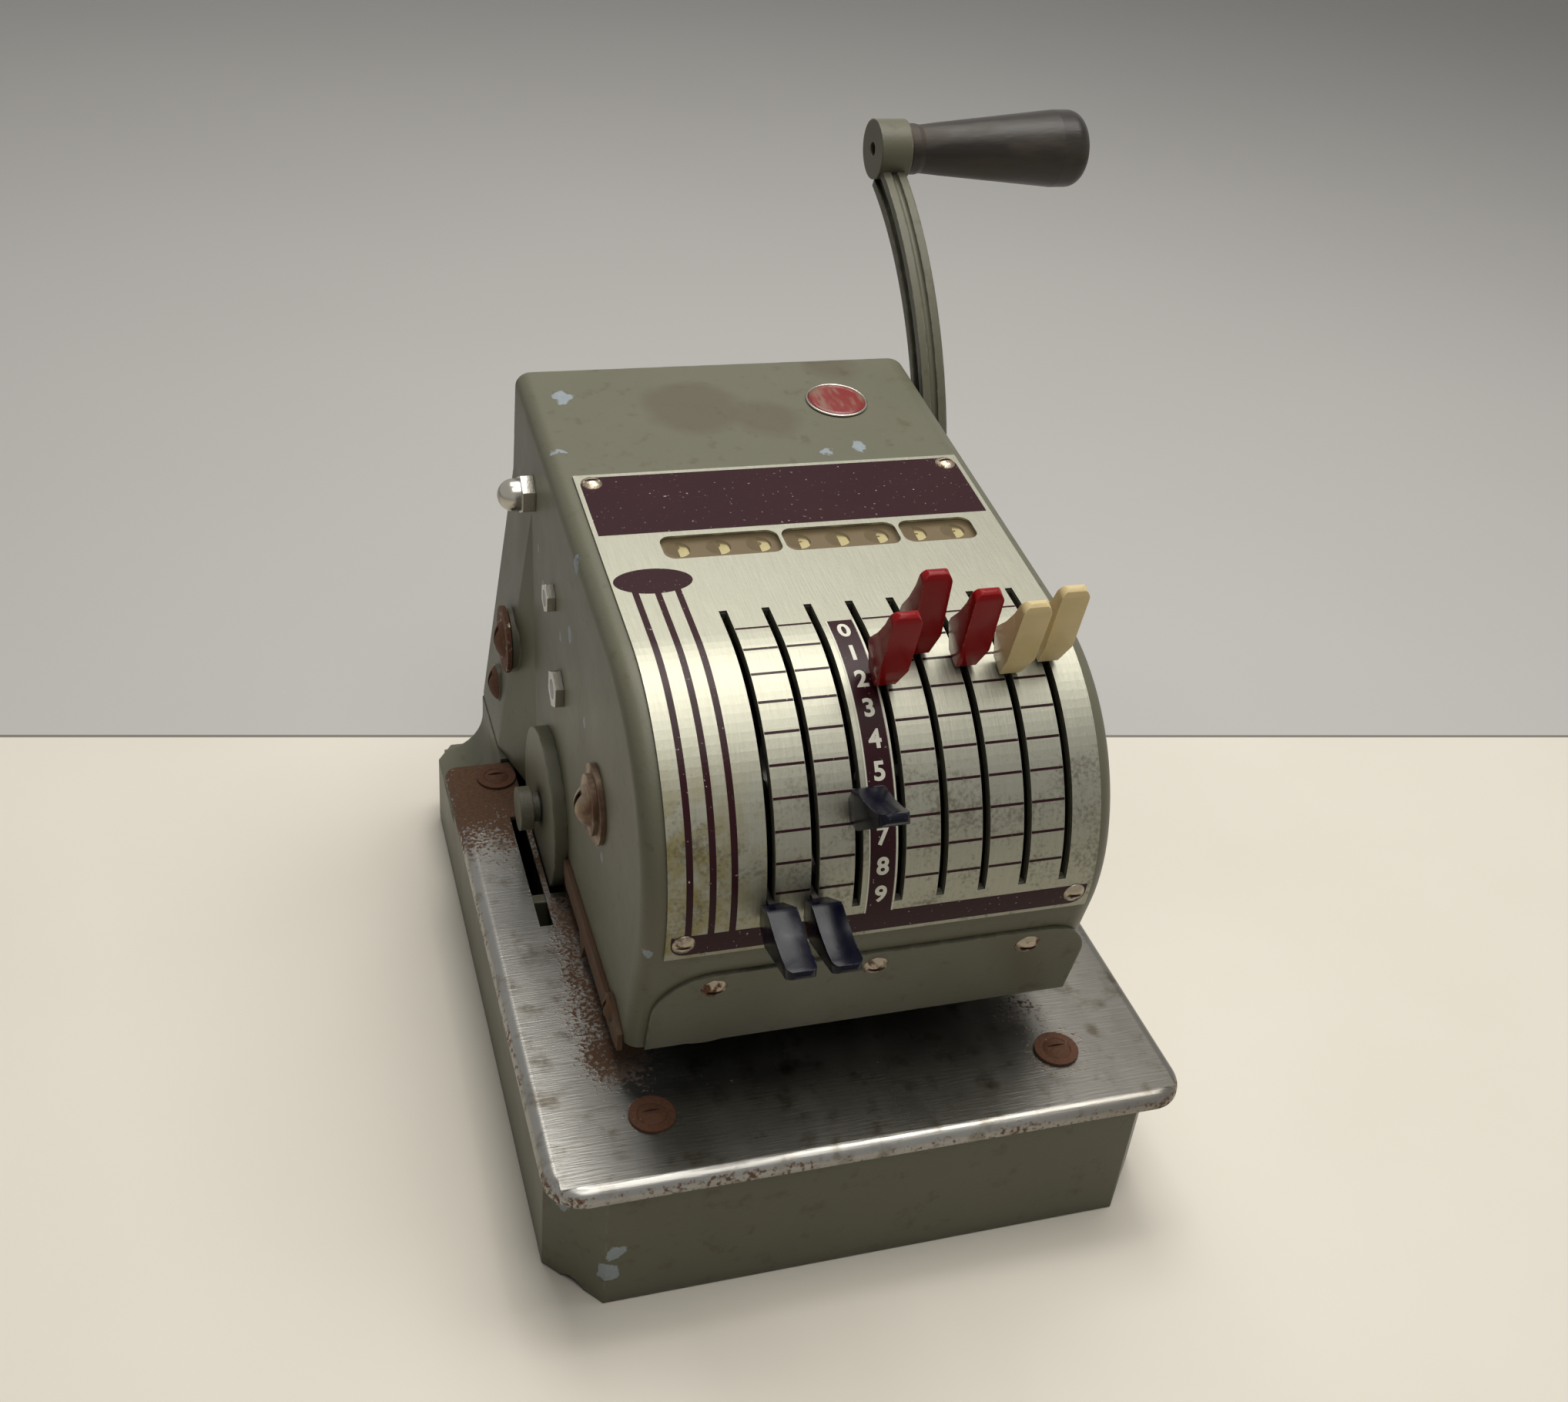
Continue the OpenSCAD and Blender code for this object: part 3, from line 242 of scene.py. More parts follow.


# ---- Base casting -----------------------------------------------------------------------------
# A hollow cast box under the table, with cut corners and a foot for the neck behind. It is
# sprayed with the same grey-green enamel as the head, painted 8 percent darker as shade, worn and chipped
# at the corners, where its rubbed edges also carry a painted highlight.
def enamel(name, chips, stains=(), painted_shade=1.0):
    """Satin enamel over a pale blue primer, with ragged chips, rubbed edges with a painted highlight,
    painted shade and dirt in the corners, and an overall painted shade set by a share.
    """
    finish = Finish(name, roughness=0.42, Specular_IOR_Level=0.3)
    cloud = finish.noise(0.035, 5)
    # The shade share scales the enamel's colours; below 1 it paints shade over the whole part.
    colour = finish.mix(cloud, shaded((93, 93, 77), painted_shade), shaded((103, 101, 84), painted_shade))
    flecks = finish.ramp(finish.noise(0.006, 4, shift=3.1), 0.56, 0.75)
    colour = finish.mix(flecks, colour, shaded((88, 84, 66), painted_shade))
    for at in stains:
        cloudy = finish.noise(0.012, 5, shift=1.7)
        colour = finish.mix(finish.times(finish.spots([at], cloudy, 5 * mm), 0.4), colour, sRGB(74, 60, 42))
    # Painted shade: the enamel turns dark brown deep in corners, together with dirt.
    corner_shade_and_grime = finish.corners(0.012)
    colour = finish.mix(finish.times(corner_shade_and_grime, 0.75), colour, sRGB(38, 32, 22))
    ragged = finish.noise(0.005, 4, shift=5.3)
    # Edges painted paler: rubbed enamel, and partly a painted highlight along the edges.
    rubbed = finish.times(finish.edges(0.0012), finish.ramp(ragged, 0.42, 0.62))
    colour = finish.mix(finish.times(rubbed, 0.55), colour, sRGB(142, 143, 129))
    bare = finish.spots(chips, ragged) if chips else 0.0
    primer = finish.mix(finish.noise(0.003, 3), sRGB(150, 160, 166), sRGB(120, 128, 132))
    colour = finish.mix(bare, colour, primer)
    finish.set("Base Color", colour)
    finish.set("Roughness", finish.blend(finish.noise(0.02, 4, shift=2.2), 0.34, 0.52))
    skin = finish.plus(finish.times(finish.noise(0.0011, 2), 0.55), finish.times(bare, -1.0))
    finish.bump(skin, 0.00011, rounding=0.0009)
    return finish


def dress(finish, *names):
    """Gives CAD nodes their finish."""
    for name in names:
        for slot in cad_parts[name].material_slots:
            slot.material = finish.material


base_chips = [(-82, -85, 14, 3.2), (-80, -85, 22, 2.6), (-93, -72, 31, 2.2), (94, -68, 30, 2.4),
              (88, -78, 40, 2.0)]
# Painted shade: the base's enamel is painted 8 percent darker than the head's.
dress(enamel("base_enamel_painted_shade", base_chips, painted_shade=0.92), "base_casting")


# ---- Bottom plate and pad ---------------------------------------------------------------------
# A pressed steel plate closes the casting from below, under a sheet of black rubber that keeps
# the machine from sliding on the desk.
rubber = Finish("black_rubber", roughness=0.8)
rubber.set("Base Color", rubber.mix(rubber.noise(0.02, 5), sRGB(24, 24, 24), sRGB(46, 44, 41)))
rubber.bump(rubber.noise(0.0015, 3), 0.00012)
dress(rubber, "base_pad")


def bare_steel(name, colour=(132, 131, 126), polish=0.34, stretch=(1, 1, 1), rust=0.35):
    """Machined steel with fine tool marks, a brown bloom, and painted shade with dirt in the corners."""
    finish = Finish(name, metallic=1.0)
    bloom = finish.ramp(finish.noise(0.012, 6, shift=4.4), 0.7 - rust * 0.5, 0.95 - rust * 0.4)
    tone = finish.mix(finish.noise(0.03, 4), sRGB(*colour), shaded(colour, 0.75))
    tone = finish.mix(bloom, tone, sRGB(92, 64, 44))
    # Painted shade: dark brown deep in corners, together with dirt.
    finish.set("Base Color", finish.mix(finish.corners(0.006), tone, sRGB(40, 33, 26)))
    finish.set("Metallic", finish.blend(bloom, 1.0, 0.35))
    finish.set("Roughness", finish.blend(bloom, polish, 0.75))
    finish.bump(finish.noise(0.0009, 3, stretch=stretch), 0.00004, rounding=0.0004)
    return finish


works_steel = bare_steel("works_steel", stretch=(0.12, 1, 1))
dress(works_steel, "bottom_plate")


# ---- Table ------------------------------------------------------------------------------------
# The table that the check lies on: plated sheet steel with rolled edges. The plating is scratched
# and dull, browned along the rolled edge, and rusted through behind and round the screws.
plating = Finish("worn_plating", metallic=1.0)
table_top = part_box("table_plate")[1].z
apart = plating.node("ShaderNodeSeparateXYZ", plating.place)
side_x, way_y, height_z = apart.outputs
patches = plating.noise(0.02, 7, shift=0.4)
speckle = plating.noise(0.0014, 2, shift=7.7)
rear_left = plating.times(plating.ramp(way_y, 0.03, 0.10), plating.ramp(side_x, -0.02, -0.07))
beside_head = plating.times(plating.ramp(side_x, -0.088, -0.074), plating.ramp(side_x, -0.05, -0.066))
beside_head = plating.times(beside_head, plating.ramp(way_y, -0.066, -0.03))
rolled = plating.ramp(height_z, table_top - 0.0003, table_top - 0.0022)
screw_rust = plating.spots([(-65, -61, 50, 7), (65, -61, 50, 11), (83, 109, 50, 9), (-83, 109, 50, 13),
                            (60, -44, 50, 9)], patches, 3 * mm)
spread = plating.maths("MAXIMUM", plating.times(rear_left, 0.26), plating.times(beside_head, 0.2))
spread = plating.maths("MAXIMUM", spread, plating.times(rolled, 0.13))
spread = plating.plus(spread, plating.times(screw_rust, 0.13))
grain = plating.maths("MULTIPLY_ADD", patches, 0.35, plating.times(speckle, 0.5))
rust = plating.ramp(plating.plus(spread, grain), 0.54, 0.66)
tone = plating.mix(plating.noise(0.05, 3, shift=9.0), sRGB(132, 131, 128), sRGB(166, 164, 159))
tone = plating.mix(plating.ramp(plating.noise(0.008, 6, shift=2.9), 0.5, 0.8), tone, sRGB(100, 94, 82))
# Painted shade: the plating is painted darker and browner towards its right side.
tone = plating.mix(plating.times(plating.ramp(side_x, 0.0, 0.09), 0.4), tone, sRGB(92, 84, 68))
tone = plating.mix(rust, tone, plating.mix(speckle, sRGB(52, 36, 25), sRGB(112, 80, 55)))
# Painted shade: the plating turns dark deep in corners, together with dirt.
plating.set("Base Color", plating.mix(plating.times(plating.corners(0.010), 0.6), tone, sRGB(30, 25, 19)))
plating.set("Metallic", plating.blend(rust, 1.0, 0.1))
smears = plating.noise(0.02, 5, stretch=(1, 0.35, 1), shift=1.3)
dullness = plating.maths("MAXIMUM", plating.blend(smears, 0.2, 0.42), plating.blend(rust, 0.0, 0.85))
plating.set("Roughness", dullness)
scratches = plating.plus(plating.noise(0.0008, 2, stretch=(0.08, 1, 1)), plating.times(rust, speckle))
plating.bump(scratches, 0.00006)
dress(plating, "table_plate")


# ---- Rusty fasteners --------------------------------------------------------------------------
# Slotted screws in cup washers hold the table, smaller ones the nameplate, the front cover and
# the rear cover. Most have lost their plating and are brown with rust.
def rusty_steel(name, worn):
    """Rusted steel; worn is the share of the surface where bright metal still shows."""
    finish = Finish(name, metallic=0.6)
    grain = finish.noise(0.0011, 6)
    bright = finish.ramp(finish.noise(0.003, 5, shift=6.1), 0.75 - worn * 0.5, 0.9 - worn * 0.5)
    tone = finish.mix(grain, sRGB(54, 34, 23), sRGB(110, 70, 46))
    tone = finish.mix(bright, tone, sRGB(166, 154, 136))
    # Painted shade: near black deep in slots and corners, together with dirt.
    finish.set("Base Color", finish.mix(finish.corners(0.003), tone, sRGB(30, 20, 13)))
    finish.set("Metallic", finish.blend(bright, 0.25, 1.0))
    finish.set("Roughness", finish.blend(bright, 0.78, 0.3))
    finish.bump(grain, 0.00015, rounding=0.0003)
    return finish


rust_finish = rusty_steel("rusty_steel", 0.2)
worn_finish = rusty_steel("worn_steel", 0.75)
dress(rust_finish, "table_screws", "foot_screws")
guide_steel = bare_steel("guide_steel", colour=(92, 80, 64), polish=0.5, rust=0.8)
dress(guide_steel, "check_guide")
dress(worn_finish, "cover_screws")


# ---- Head casting -----------------------------------------------------------------------------
# The cast hood that carries the works: flat flared sides, a round front that the dial lies on
# and a nearly level lid. Grey-green enamel with primer showing in chips at its edges.
head_chips = [(-58, 128, 189, 4.2), (-66, 96, 186, 2.6), (34, 88, 189, 2.6), (22, 86, 189, 2.0),
              (-69.5, 40, 178, 2.6), (-70.6, 46, 150, 2.2), (-70.6, 90, 142, 1.7),
              (-70.6, 60, 140, 1.6), (-70.6, 22, 134, 1.4),
              (-70.6, 100, 150, 1.5), (-70.6, -8, 106, 1.3), (-68, -50, 132, 2.2), (-68, -58, 112, 1.8)]
head_stains = [(-16, 118, 190, 15), (8, 108, 189, 9), (40, 140, 192, 7)]
head_enamel = enamel("head_enamel", head_chips, head_stains)
dress(head_enamel, "head_housing", "front_lower_cover", "rear_cover", "ink_cover")


# ---- Nameplate --------------------------------------------------------------------------------
# A sheet of brushed aluminium bent round the dial and up the lid, held by four small screws. It
# is yellowed and pitted towards its left edge, and painted darker low on the dial: a painted shade that
# stands for the dark reflection there.
aluminium = Finish("nameplate_metal", metallic=1.0)
apart = aluminium.node("ShaderNodeSeparateXYZ", aluminium.place)
side_x, way_y, height_z = apart.outputs
brushed = aluminium.noise(0.0006, 2, stretch=(1, 0.05, 0.05))
pits = aluminium.noise(0.0012, 6, shift=3.3)
yellowed = aluminium.times(aluminium.ramp(side_x, -0.02, -0.06), aluminium.ramp(height_z, 0.172, 0.14))
# Painted shade: low on the dial, broken by a noise, the plate is painted darker to stand for a dark
# reflection.
low_dial_shade = aluminium.times(aluminium.ramp(height_z, 0.178, 0.150), aluminium.noise(0.014, 5, shift=5.5))
tone = aluminium.mix(brushed, sRGB(142, 142, 130), sRGB(160, 159, 145))
tone = aluminium.mix(aluminium.times(yellowed, aluminium.ramp(aluminium.noise(0.006, 6), 0.35, 0.65)),
                     tone, sRGB(136, 128, 92))
dark = aluminium.ramp(aluminium.plus(aluminium.times(low_dial_shade, 0.5), aluminium.times(pits, 0.5)), 0.47, 0.66)
tone = aluminium.mix(aluminium.times(dark, 0.6), tone, sRGB(84, 78, 62))
aluminium.set("Base Color", tone)
aluminium.set("Roughness", aluminium.blend(aluminium.maths("MAXIMUM", dark, yellowed), 0.48, 0.62))
aluminium.bump(aluminium.plus(brushed, aluminium.times(pits, -0.8)), 0.00004)
dress(aluminium, "nameplate")


# ---- Printing on the nameplate ----------------------------------------------------------------
# Maroon enamel baked onto the aluminium: a header band and a foot strip, three stripes under an
# oval, the digits' strip between two slots and thin lines at each digit.
dial_radius, shaft_height = 60 * mm, 120 * mm
lid_angle, first_line, digit_step = (math.radians(a) for a in (95.33, 93.32, 8.6667))
pitch, dial_shift, columns = 12.7 * mm, 9.4 * mm, 8


def lever_x(column):
    return dial_shift + (column - (columns - 1) / 2) * pitch


def on_plate(x, way, lift=0.0):
    """A point of the nameplate: way runs along it from the lid's front edge, forward and down."""
    radius = dial_radius + lift
    angle = lid_angle + max(way, 0) / dial_radius
    back = max(-way, 0)
    return Vector((x, radius * math.cos(angle) + back * math.sin(lid_angle),
                   shaft_height + radius * math.sin(angle) - back * math.cos(lid_angle)))


def boundary(k):
    """Where the line above digit k lies on the plate."""
    return dial_radius * (first_line + k * digit_step - lid_angle)


def as_mesh(shape, name):
    """Turns a bmesh into a mesh of that name, and frees it."""
    mesh = bpy.data.meshes.new(name)
    shape.to_mesh(mesh)
    shape.free()
    return mesh


def finished(name, mesh, finish, body, smooth=True):
    """Makes a mesh in its place a piece of the object."""
    made = bpy.data.objects.new(name, mesh)
    mesh.materials.clear()
    mesh.materials.append(finish.material)
    for face in mesh.polygons:
        face.use_smooth = smooth
    bpy.context.scene.collection.objects.link(made)
    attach(made, body)
    return made


def rounded_outline(x0, x1, w0, w1, radii, steps=8):
    """Outline of a plate from (x0, w0) to (x1, w1) with a radius at each corner, as (x, way)."""
    corners = ((x1, w1, 0), (x0, w1, 90), (x0, w0, 180), (x1, w0, 270))
    outline = []
    for (cx, cw, start), r in zip(corners, radii):
        inward_x, inward_w = (-1 if cx == x1 else 1), (-1 if cw == w1 else 1)
        for k in range(steps + 1 if r else 1):
            a = math.radians(start + 90 * k / steps)
            outline.append((cx + inward_x * r + r * math.cos(a), cw + inward_w * r + r * math.sin(a)))
    return outline


def printed(name, shapes, finish, lift, depth=0.03 * mm, glyphs=()):
    """Lays flat shapes, drawn as (x, way), onto the nameplate as one thin film."""
    film = bmesh.new()
    for outline in shapes:
        film.faces.new([film.verts.new((x, w, 0)) for x, w in outline])
    for mesh in glyphs:
        film.from_mesh(mesh)
    bmesh.ops.triangulate(film, faces=film.faces[:])
    low, high = min(v.co.y for v in film.verts), max(v.co.y for v in film.verts)
    cut = low + 1.1 * mm
    while cut < high:
        bmesh.ops.bisect_plane(film, geom=film.faces[:] + film.edges[:] + film.verts[:],
                               plane_co=(0, cut, 0), plane_no=(0, 1, 0), dist=1e-7)
        cut += 1.5 * mm
    bmesh.ops.remove_doubles(film, verts=film.verts[:], dist=1e-6)
    bottom = film.faces[:]
    raised = bmesh.ops.extrude_face_region(film, geom=bottom)["geom"]
    top = {v for v in raised if isinstance(v, bmesh.types.BMVert)}
    for vert in film.verts:
        vert.co = on_plate(vert.co.x, vert.co.y, lift + (depth if vert in top else 0))
    bmesh.ops.recalc_face_normals(film, faces=film.faces[:])
    return finished(name, as_mesh(film, name), finish, "machine", smooth=False)


def print_enamel(name, ink, worn_to=(176, 176, 166)):
    """Baked print: glossy, pitted, and worn through to the metal in specks."""
    finish = Finish(name, roughness=0.3, Specular_IOR_Level=0.15)
    specks = finish.ramp(finish.noise(0.0012, 6, shift=2.0), 0.66, 0.74)
    tone = finish.mix(finish.noise(0.02, 4), sRGB(*ink), shaded(ink, 1.35))
    finish.set("Base Color", finish.mix(specks, tone, sRGB(*worn_to)))
    finish.set("Roughness", finish.blend(specks, 0.28, 0.5))
    finish.bump(finish.noise(0.001, 3), 0.00002)
    return finish


maroon = print_enamel("maroon_print", (42, 13, 20))
pale = print_enamel("pale_print", (206, 205, 192), (120, 110, 96))
plate_side, strip_radius = 62.7 * mm, 4.5 * mm
foot_top, foot_end = (dial_radius * (math.radians(a) - lid_angle) for a in (181.8, 188.9))
band_top, band_end = -83.4 * mm, -51.75 * mm
square = (0, 0, 0, 0)
oval_x, oval_way, oval_w, oval_h = -51.6 * mm, -27.6 * mm, 23.6 * mm, 12 * mm
strip_left, strip_right = -6.3 * mm, 1.1 * mm
band = rounded_outline(-plate_side, plate_side, band_top, band_end, (0, 0, strip_radius, strip_radius))
foot = rounded_outline(-plate_side, plate_side, foot_top, foot_end, (strip_radius, strip_radius, 0, 0))
oval = [(oval_x + oval_w / 2 * math.cos(a), oval_way + oval_h / 2 * math.sin(a))
        for a in (2 * math.pi * k / 48 for k in range(48))]
stripe_top, stripe_end, stripe_half = oval_way + 4 * mm, foot_top + 1 * mm, 0.95 * mm
stripes = [rounded_outline(x * mm - stripe_half, x * mm + stripe_half, stripe_top, stripe_end, square)
           for x in (-58.0, -51.5, -45.4)]
digit_strip = rounded_outline(strip_left, strip_right, boundary(0), stripe_end, square)
printed("print_bands", [band, foot], maroon, 0.03 * mm)
printed("print_oval", [oval], maroon, 0.05 * mm)
printed("print_stripes", stripes + [digit_strip], maroon, 0.03 * mm)
hair = 0.35 * mm
hairlines = [rounded_outline(x - hair / 2, x + hair / 2, boundary(0), foot_top, square)
             for x in (strip_left - hair, strip_right + hair)]
printed("print_hairlines", hairlines, pale, 0.04 * mm)


def figure(text, size, weight):
    """A digit as a flat mesh, centred on the origin."""
    curve = bpy.data.curves.new("figure", "FONT")
    curve.body, curve.size, curve.offset = text, size, weight
    curve.align_x, curve.align_y = "CENTER", "CENTER"
    curve.resolution_u = 6
    holder = bpy.data.objects.new("figure", curve)
    bpy.context.scene.collection.objects.link(holder)
    bpy.context.view_layer.update()
    mesh = bpy.data.meshes.new_from_object(holder.evaluated_get(bpy.context.evaluated_depsgraph_get()))
    bpy.data.objects.remove(holder)
    middle = []
    for axis in (0, 1):
        places = [vert.co[axis] for vert in mesh.vertices]
        middle.append((min(places) + max(places)) / 2)
    mesh.transform(Matrix.Translation((-middle[0], -middle[1], 0)))
    return mesh


digit_size, digit_weight = 7.4 * mm, 0.22 * mm
strip_middle = (strip_left + strip_right) / 2
upright = Matrix.Diagonal((1, -1, 1, 1))
digits = []
for digit in range(10):
    mesh = figure(str(digit), digit_size, digit_weight)
    mesh.transform(Matrix.Translation((strip_middle, boundary(digit + 0.5), 0)) @ upright)
    digits.append(mesh)
printed("print_digits", [], pale, 0.07 * mm, glyphs=digits)


def node_group(name, **inputs):
    """A Geometry Nodes tree with named inputs; returns the tree, its input node and its output node."""
    tree = bpy.data.node_groups.new(name, "GeometryNodeTree")
    kinds = {float: "NodeSocketFloat", int: "NodeSocketInt", bpy.types.Material: "NodeSocketMaterial"}
    for key, value in inputs.items():
        socket = tree.interface.new_socket(key, in_out="INPUT", socket_type=kinds[type(value)])
        if not isinstance(value, bpy.types.Material):
            socket.default_value = value
    tree.interface.new_socket("Geometry", in_out="OUTPUT", socket_type="NodeSocketGeometry")
    return tree, tree.nodes.new("NodeGroupInput"), tree.nodes.new("NodeGroupOutput")


def grow(tree, values):
    """Runs a tree with these inputs and returns the plain mesh that it makes."""
    holder = bpy.data.objects.new(tree.name, bpy.data.meshes.new(tree.name))
    bpy.context.scene.collection.objects.link(holder)
    modifier = holder.modifiers.new("grow", "NODES")
    modifier.node_group = tree
    for item in tree.interface.items_tree:
        if item.in_out == "INPUT":
            modifier[item.identifier] = values[item.name]
    bpy.context.view_layer.update()
    mesh = bpy.data.meshes.new_from_object(holder.evaluated_get(bpy.context.evaluated_depsgraph_get()))
    holder.modifiers.remove(modifier)
    bpy.data.objects.remove(holder)
    return mesh


class Maker:
    """Adds nodes to a Geometry Nodes tree, with numbers or sockets as their inputs."""

    def __init__(self, tree):
        self.tree = tree

    def add(self, kind, inputs=None, **settings):
        made = self.tree.nodes.new(kind)
        for key, value in settings.items():
            setattr(made, key, value)
        for key, value in (inputs or {}).items():
            slot = made.inputs[key]
            if isinstance(value, bpy.types.NodeSocket):
                self.tree.links.new(value, slot)
            else:
                slot.default_value = value
        return made.outputs

    def maths(self, operation, a, b=0.0):
        return self.add("ShaderNodeMath", {0: a, 1: b}, operation=operation)[0]

    def times(self, a, b):
        return self.maths("MULTIPLY", a, b)

    def plus(self, a, b):
        return self.maths("ADD", a, b)


line_values = {"Lines": 10, "Step": digit_step, "First": first_line, "Radius": dial_radius + 0.05 * mm,
               "Length": pitch - 2.6 * mm, "Width": 0.75 * mm, "Depth": 0.04 * mm, "Print": maroon.material}
tree, given, result = node_group("digit_lines", **line_values)
make = Maker(tree)
number = make.add("GeometryNodeInputIndex")[0]
angle = make.plus(make.times(number, given.outputs["Step"]), given.outputs["First"])
row = make.add("GeometryNodeMeshLine", {"Count": given.outputs["Lines"]})[0]
rearward = make.times(given.outputs["Radius"], make.maths("COSINE", angle))
higher = make.times(given.outputs["Radius"], make.maths("SINE", angle))
place = make.add("ShaderNodeCombineXYZ", {"Y": rearward, "Z": higher})[0]
row = make.add("GeometryNodeSetPosition", {"Geometry": row, "Position": place})[0]
extent = make.add("ShaderNodeCombineXYZ", {"X": given.outputs["Length"], "Y": given.outputs["Depth"],
                                           "Z": given.outputs["Width"]})[0]
sheet = make.add("GeometryNodeMeshCube", {"Size": extent, "Vertices X": 2, "Vertices Y": 2,
                                          "Vertices Z": 2})[0]
turned = make.add("ShaderNodeCombineXYZ", {"X": angle})[0]
placed = make.add("GeometryNodeInstanceOnPoints", {"Points": row, "Instance": sheet, "Rotation": turned})[0]
placed = make.add("GeometryNodeRealizeInstances", {"Geometry": placed})[0]
placed = make.add("GeometryNodeSetMaterial", {"Geometry": placed, "Material": given.outputs["Print"]})[0]
tree.links.new(placed, result.inputs["Geometry"])
lines = bmesh.new()
for column in (0, 1, 3, 4, 5, 6):
    mesh = grow(tree, line_values)
    mesh.transform(Matrix.Translation((lever_x(column) + pitch / 2, 0, shaft_height)))
    lines.from_mesh(mesh)
line_mesh = as_mesh(lines, "print_digit_lines")
finished("print_digit_lines", line_mesh, maroon, "machine", smooth=False)


# ---- Windows and indicator drums --------------------------------------------------------------
# A celluloid strip closes the three windows from inside. A thin brown card lies under it, with a
# round hole for each column. Each drum has an ivory band with dark figures that turns below it.
celluloid = Finish("celluloid", colour=sRGB(170, 150, 112), roughness=0.12, Alpha=0.16)
celluloid.set("Roughness", celluloid.blend(celluloid.noise(0.004, 5), 0.08, 0.3))
dress(celluloid, "window_lens")
window_back, window_length = 43.5 * mm, 11.7 * mm
spot_radius, spot_shift, spot_back = 3.9 * mm, -4.75 * mm, window_back + 1.9 * mm
half_turn = [math.pi * k / 16 for k in range(17)]
brown = Finish("brown_card", roughness=0.55, Specular_IOR_Level=0.3)
brown.set("Base Color", brown.mix(brown.noise(0.006, 5), sRGB(78, 66, 54), sRGB(104, 90, 72)))
card_depth, card_start, card_end = 2.35 * mm, lever_x(0) - 11 * mm, lever_x(columns - 1) + 4.4 * mm
near, far = -window_back - window_length / 2 - mm, -window_back + window_length / 2 + mm
card = []
for column in range(columns):
    left = card_start if column == 0 else lever_x(column - 1) + pitch / 2 + spot_shift
    right = card_end if column == columns - 1 else lever_x(column) + pitch / 2 + spot_shift
    spot_x = lever_x(column) + spot_shift
    for side, edge in ((-1, left), (1, right)):
        rim = [(spot_x + side * spot_radius * math.sin(a), -spot_back - spot_radius * math.cos(a))
               for a in half_turn]
        card.append([(spot_x, near)] + rim + [(spot_x, far), (edge, far), (edge, near)])
printed("window_mask", card, brown, -card_depth)

drum_radius, drum_depth, positions = 16 * mm, 3 * mm, 11
drum_middle = on_plate(0, -window_back, -(drum_depth + drum_radius))
pinion_step = 2 * math.pi / positions
look_back = 0.25
rest_digits = (9, 9, 6, 2, 1, 2, 2, 2)
drum_metal = Finish("drum_metal")
level_place = drum_metal.stretched((0, 1, 1))
out = drum_metal.node("ShaderNodeVectorMath", level_place, drum_middle, operation="DISTANCE")
rim_share = drum_metal.ramp(out.outputs["Value"], drum_radius - 0.4 * mm, drum_radius - 0.2 * mm)
metal_tone = drum_metal.mix(drum_metal.noise(0.006, 5), sRGB(92, 84, 70), sRGB(122, 114, 98))
ivory_tone = drum_metal.mix(drum_metal.noise(0.003, 4), sRGB(226, 214, 160), sRGB(204, 188, 132))
drum_metal.set("Base Color", drum_metal.mix(rim_share, metal_tone, ivory_tone))
drum_metal.set("Metallic", drum_metal.blend(rim_share, 0.6, 0.0))
drum_metal.set("Roughness", drum_metal.blend(drum_metal.noise(0.004, 3), 0.35, 0.6))
drum_metal.bump(drum_metal.noise(0.0008, 3), 0.00003, rounding=0.0003)
figure_ink = Finish("figure_ink", roughness=0.4)
uneven = figure_ink.noise(0.001, 4)
figure_ink.set("Base Color", figure_ink.mix(uneven, sRGB(76, 64, 36), sRGB(104, 90, 52)))

ivory = Finish("ivory_band", roughness=0.4)
ivory.set("Base Color", ivory.mix(ivory.noise(0.003, 4), sRGB(232, 224, 172), sRGB(208, 194, 138)))
ivory.bump(ivory.noise(0.0008, 3), 0.00002)
band_inner, band_outer, band_shift, band_half, band_steps = 16.03 * mm, 16.24 * mm, -5 * mm, 3.65 * mm, 66
band_corners = [(-band_half, band_inner), (band_half, band_inner), (band_half, band_outer),
                (-band_half, band_outer)]
for column in range(columns):
    band = bmesh.new()
    middle = drum_middle + Vector((lever_x(column) + band_shift, 0, 0))
    hoops = []
    for k in range(band_steps):
        turned = 2 * math.pi * k / band_steps
        outward = Vector((0, math.cos(turned), math.sin(turned)))
        hoops.append([band.verts.new(middle + Vector((x, 0, 0)) + outward * radius)
                      for x, radius in band_corners])
    for k in range(band_steps):
        for a in range(4):
            band.faces.new([hoops[k][a], hoops[k][a - 1], hoops[k - 1][a - 1], hoops[k - 1][a]])
    bmesh.ops.recalc_face_normals(band, faces=band.faces[:])
    name = f"drum_band_{column + 1}"
    finished(name, as_mesh(band, name), ivory, f"drum_{column + 1}", smooth=False)

figure_size, figure_weight = 5.6 * mm, 0.1 * mm
figures = [figure(str(n), figure_size, figure_weight) for n in range(10)]
lifted = Matrix.Translation((0, 0, band_outer + 0.02 * mm))
for column in range(columns):
    inked = bmesh.new()
    middle = drum_middle + Vector((lever_x(column) + spot_shift, 0, 0))
    for n, flat in enumerate(figures):
        mesh = flat.copy()
        turned = lid_angle - look_back + (n - rest_digits[column]) * pinion_step - math.pi / 2
        mesh.transform(Matrix.Translation(middle) @ Matrix.Rotation(turned, 4, "X") @ lifted)
        inked.from_mesh(mesh)
    bmesh.ops.remove_doubles(inked, verts=inked.verts[:], dist=1e-7)
    bmesh.ops.solidify(inked, geom=inked.faces[:], thickness=-0.05 * mm)
    bmesh.ops.recalc_face_normals(inked, faces=inked.faces[:])
    name = f"drum_figures_{column + 1}"
    finished(name, as_mesh(inked, name), figure_ink, f"drum_{column + 1}", smooth=False)
dress(drum_metal, *(f"drum_{n + 1}" for n in range(columns)))


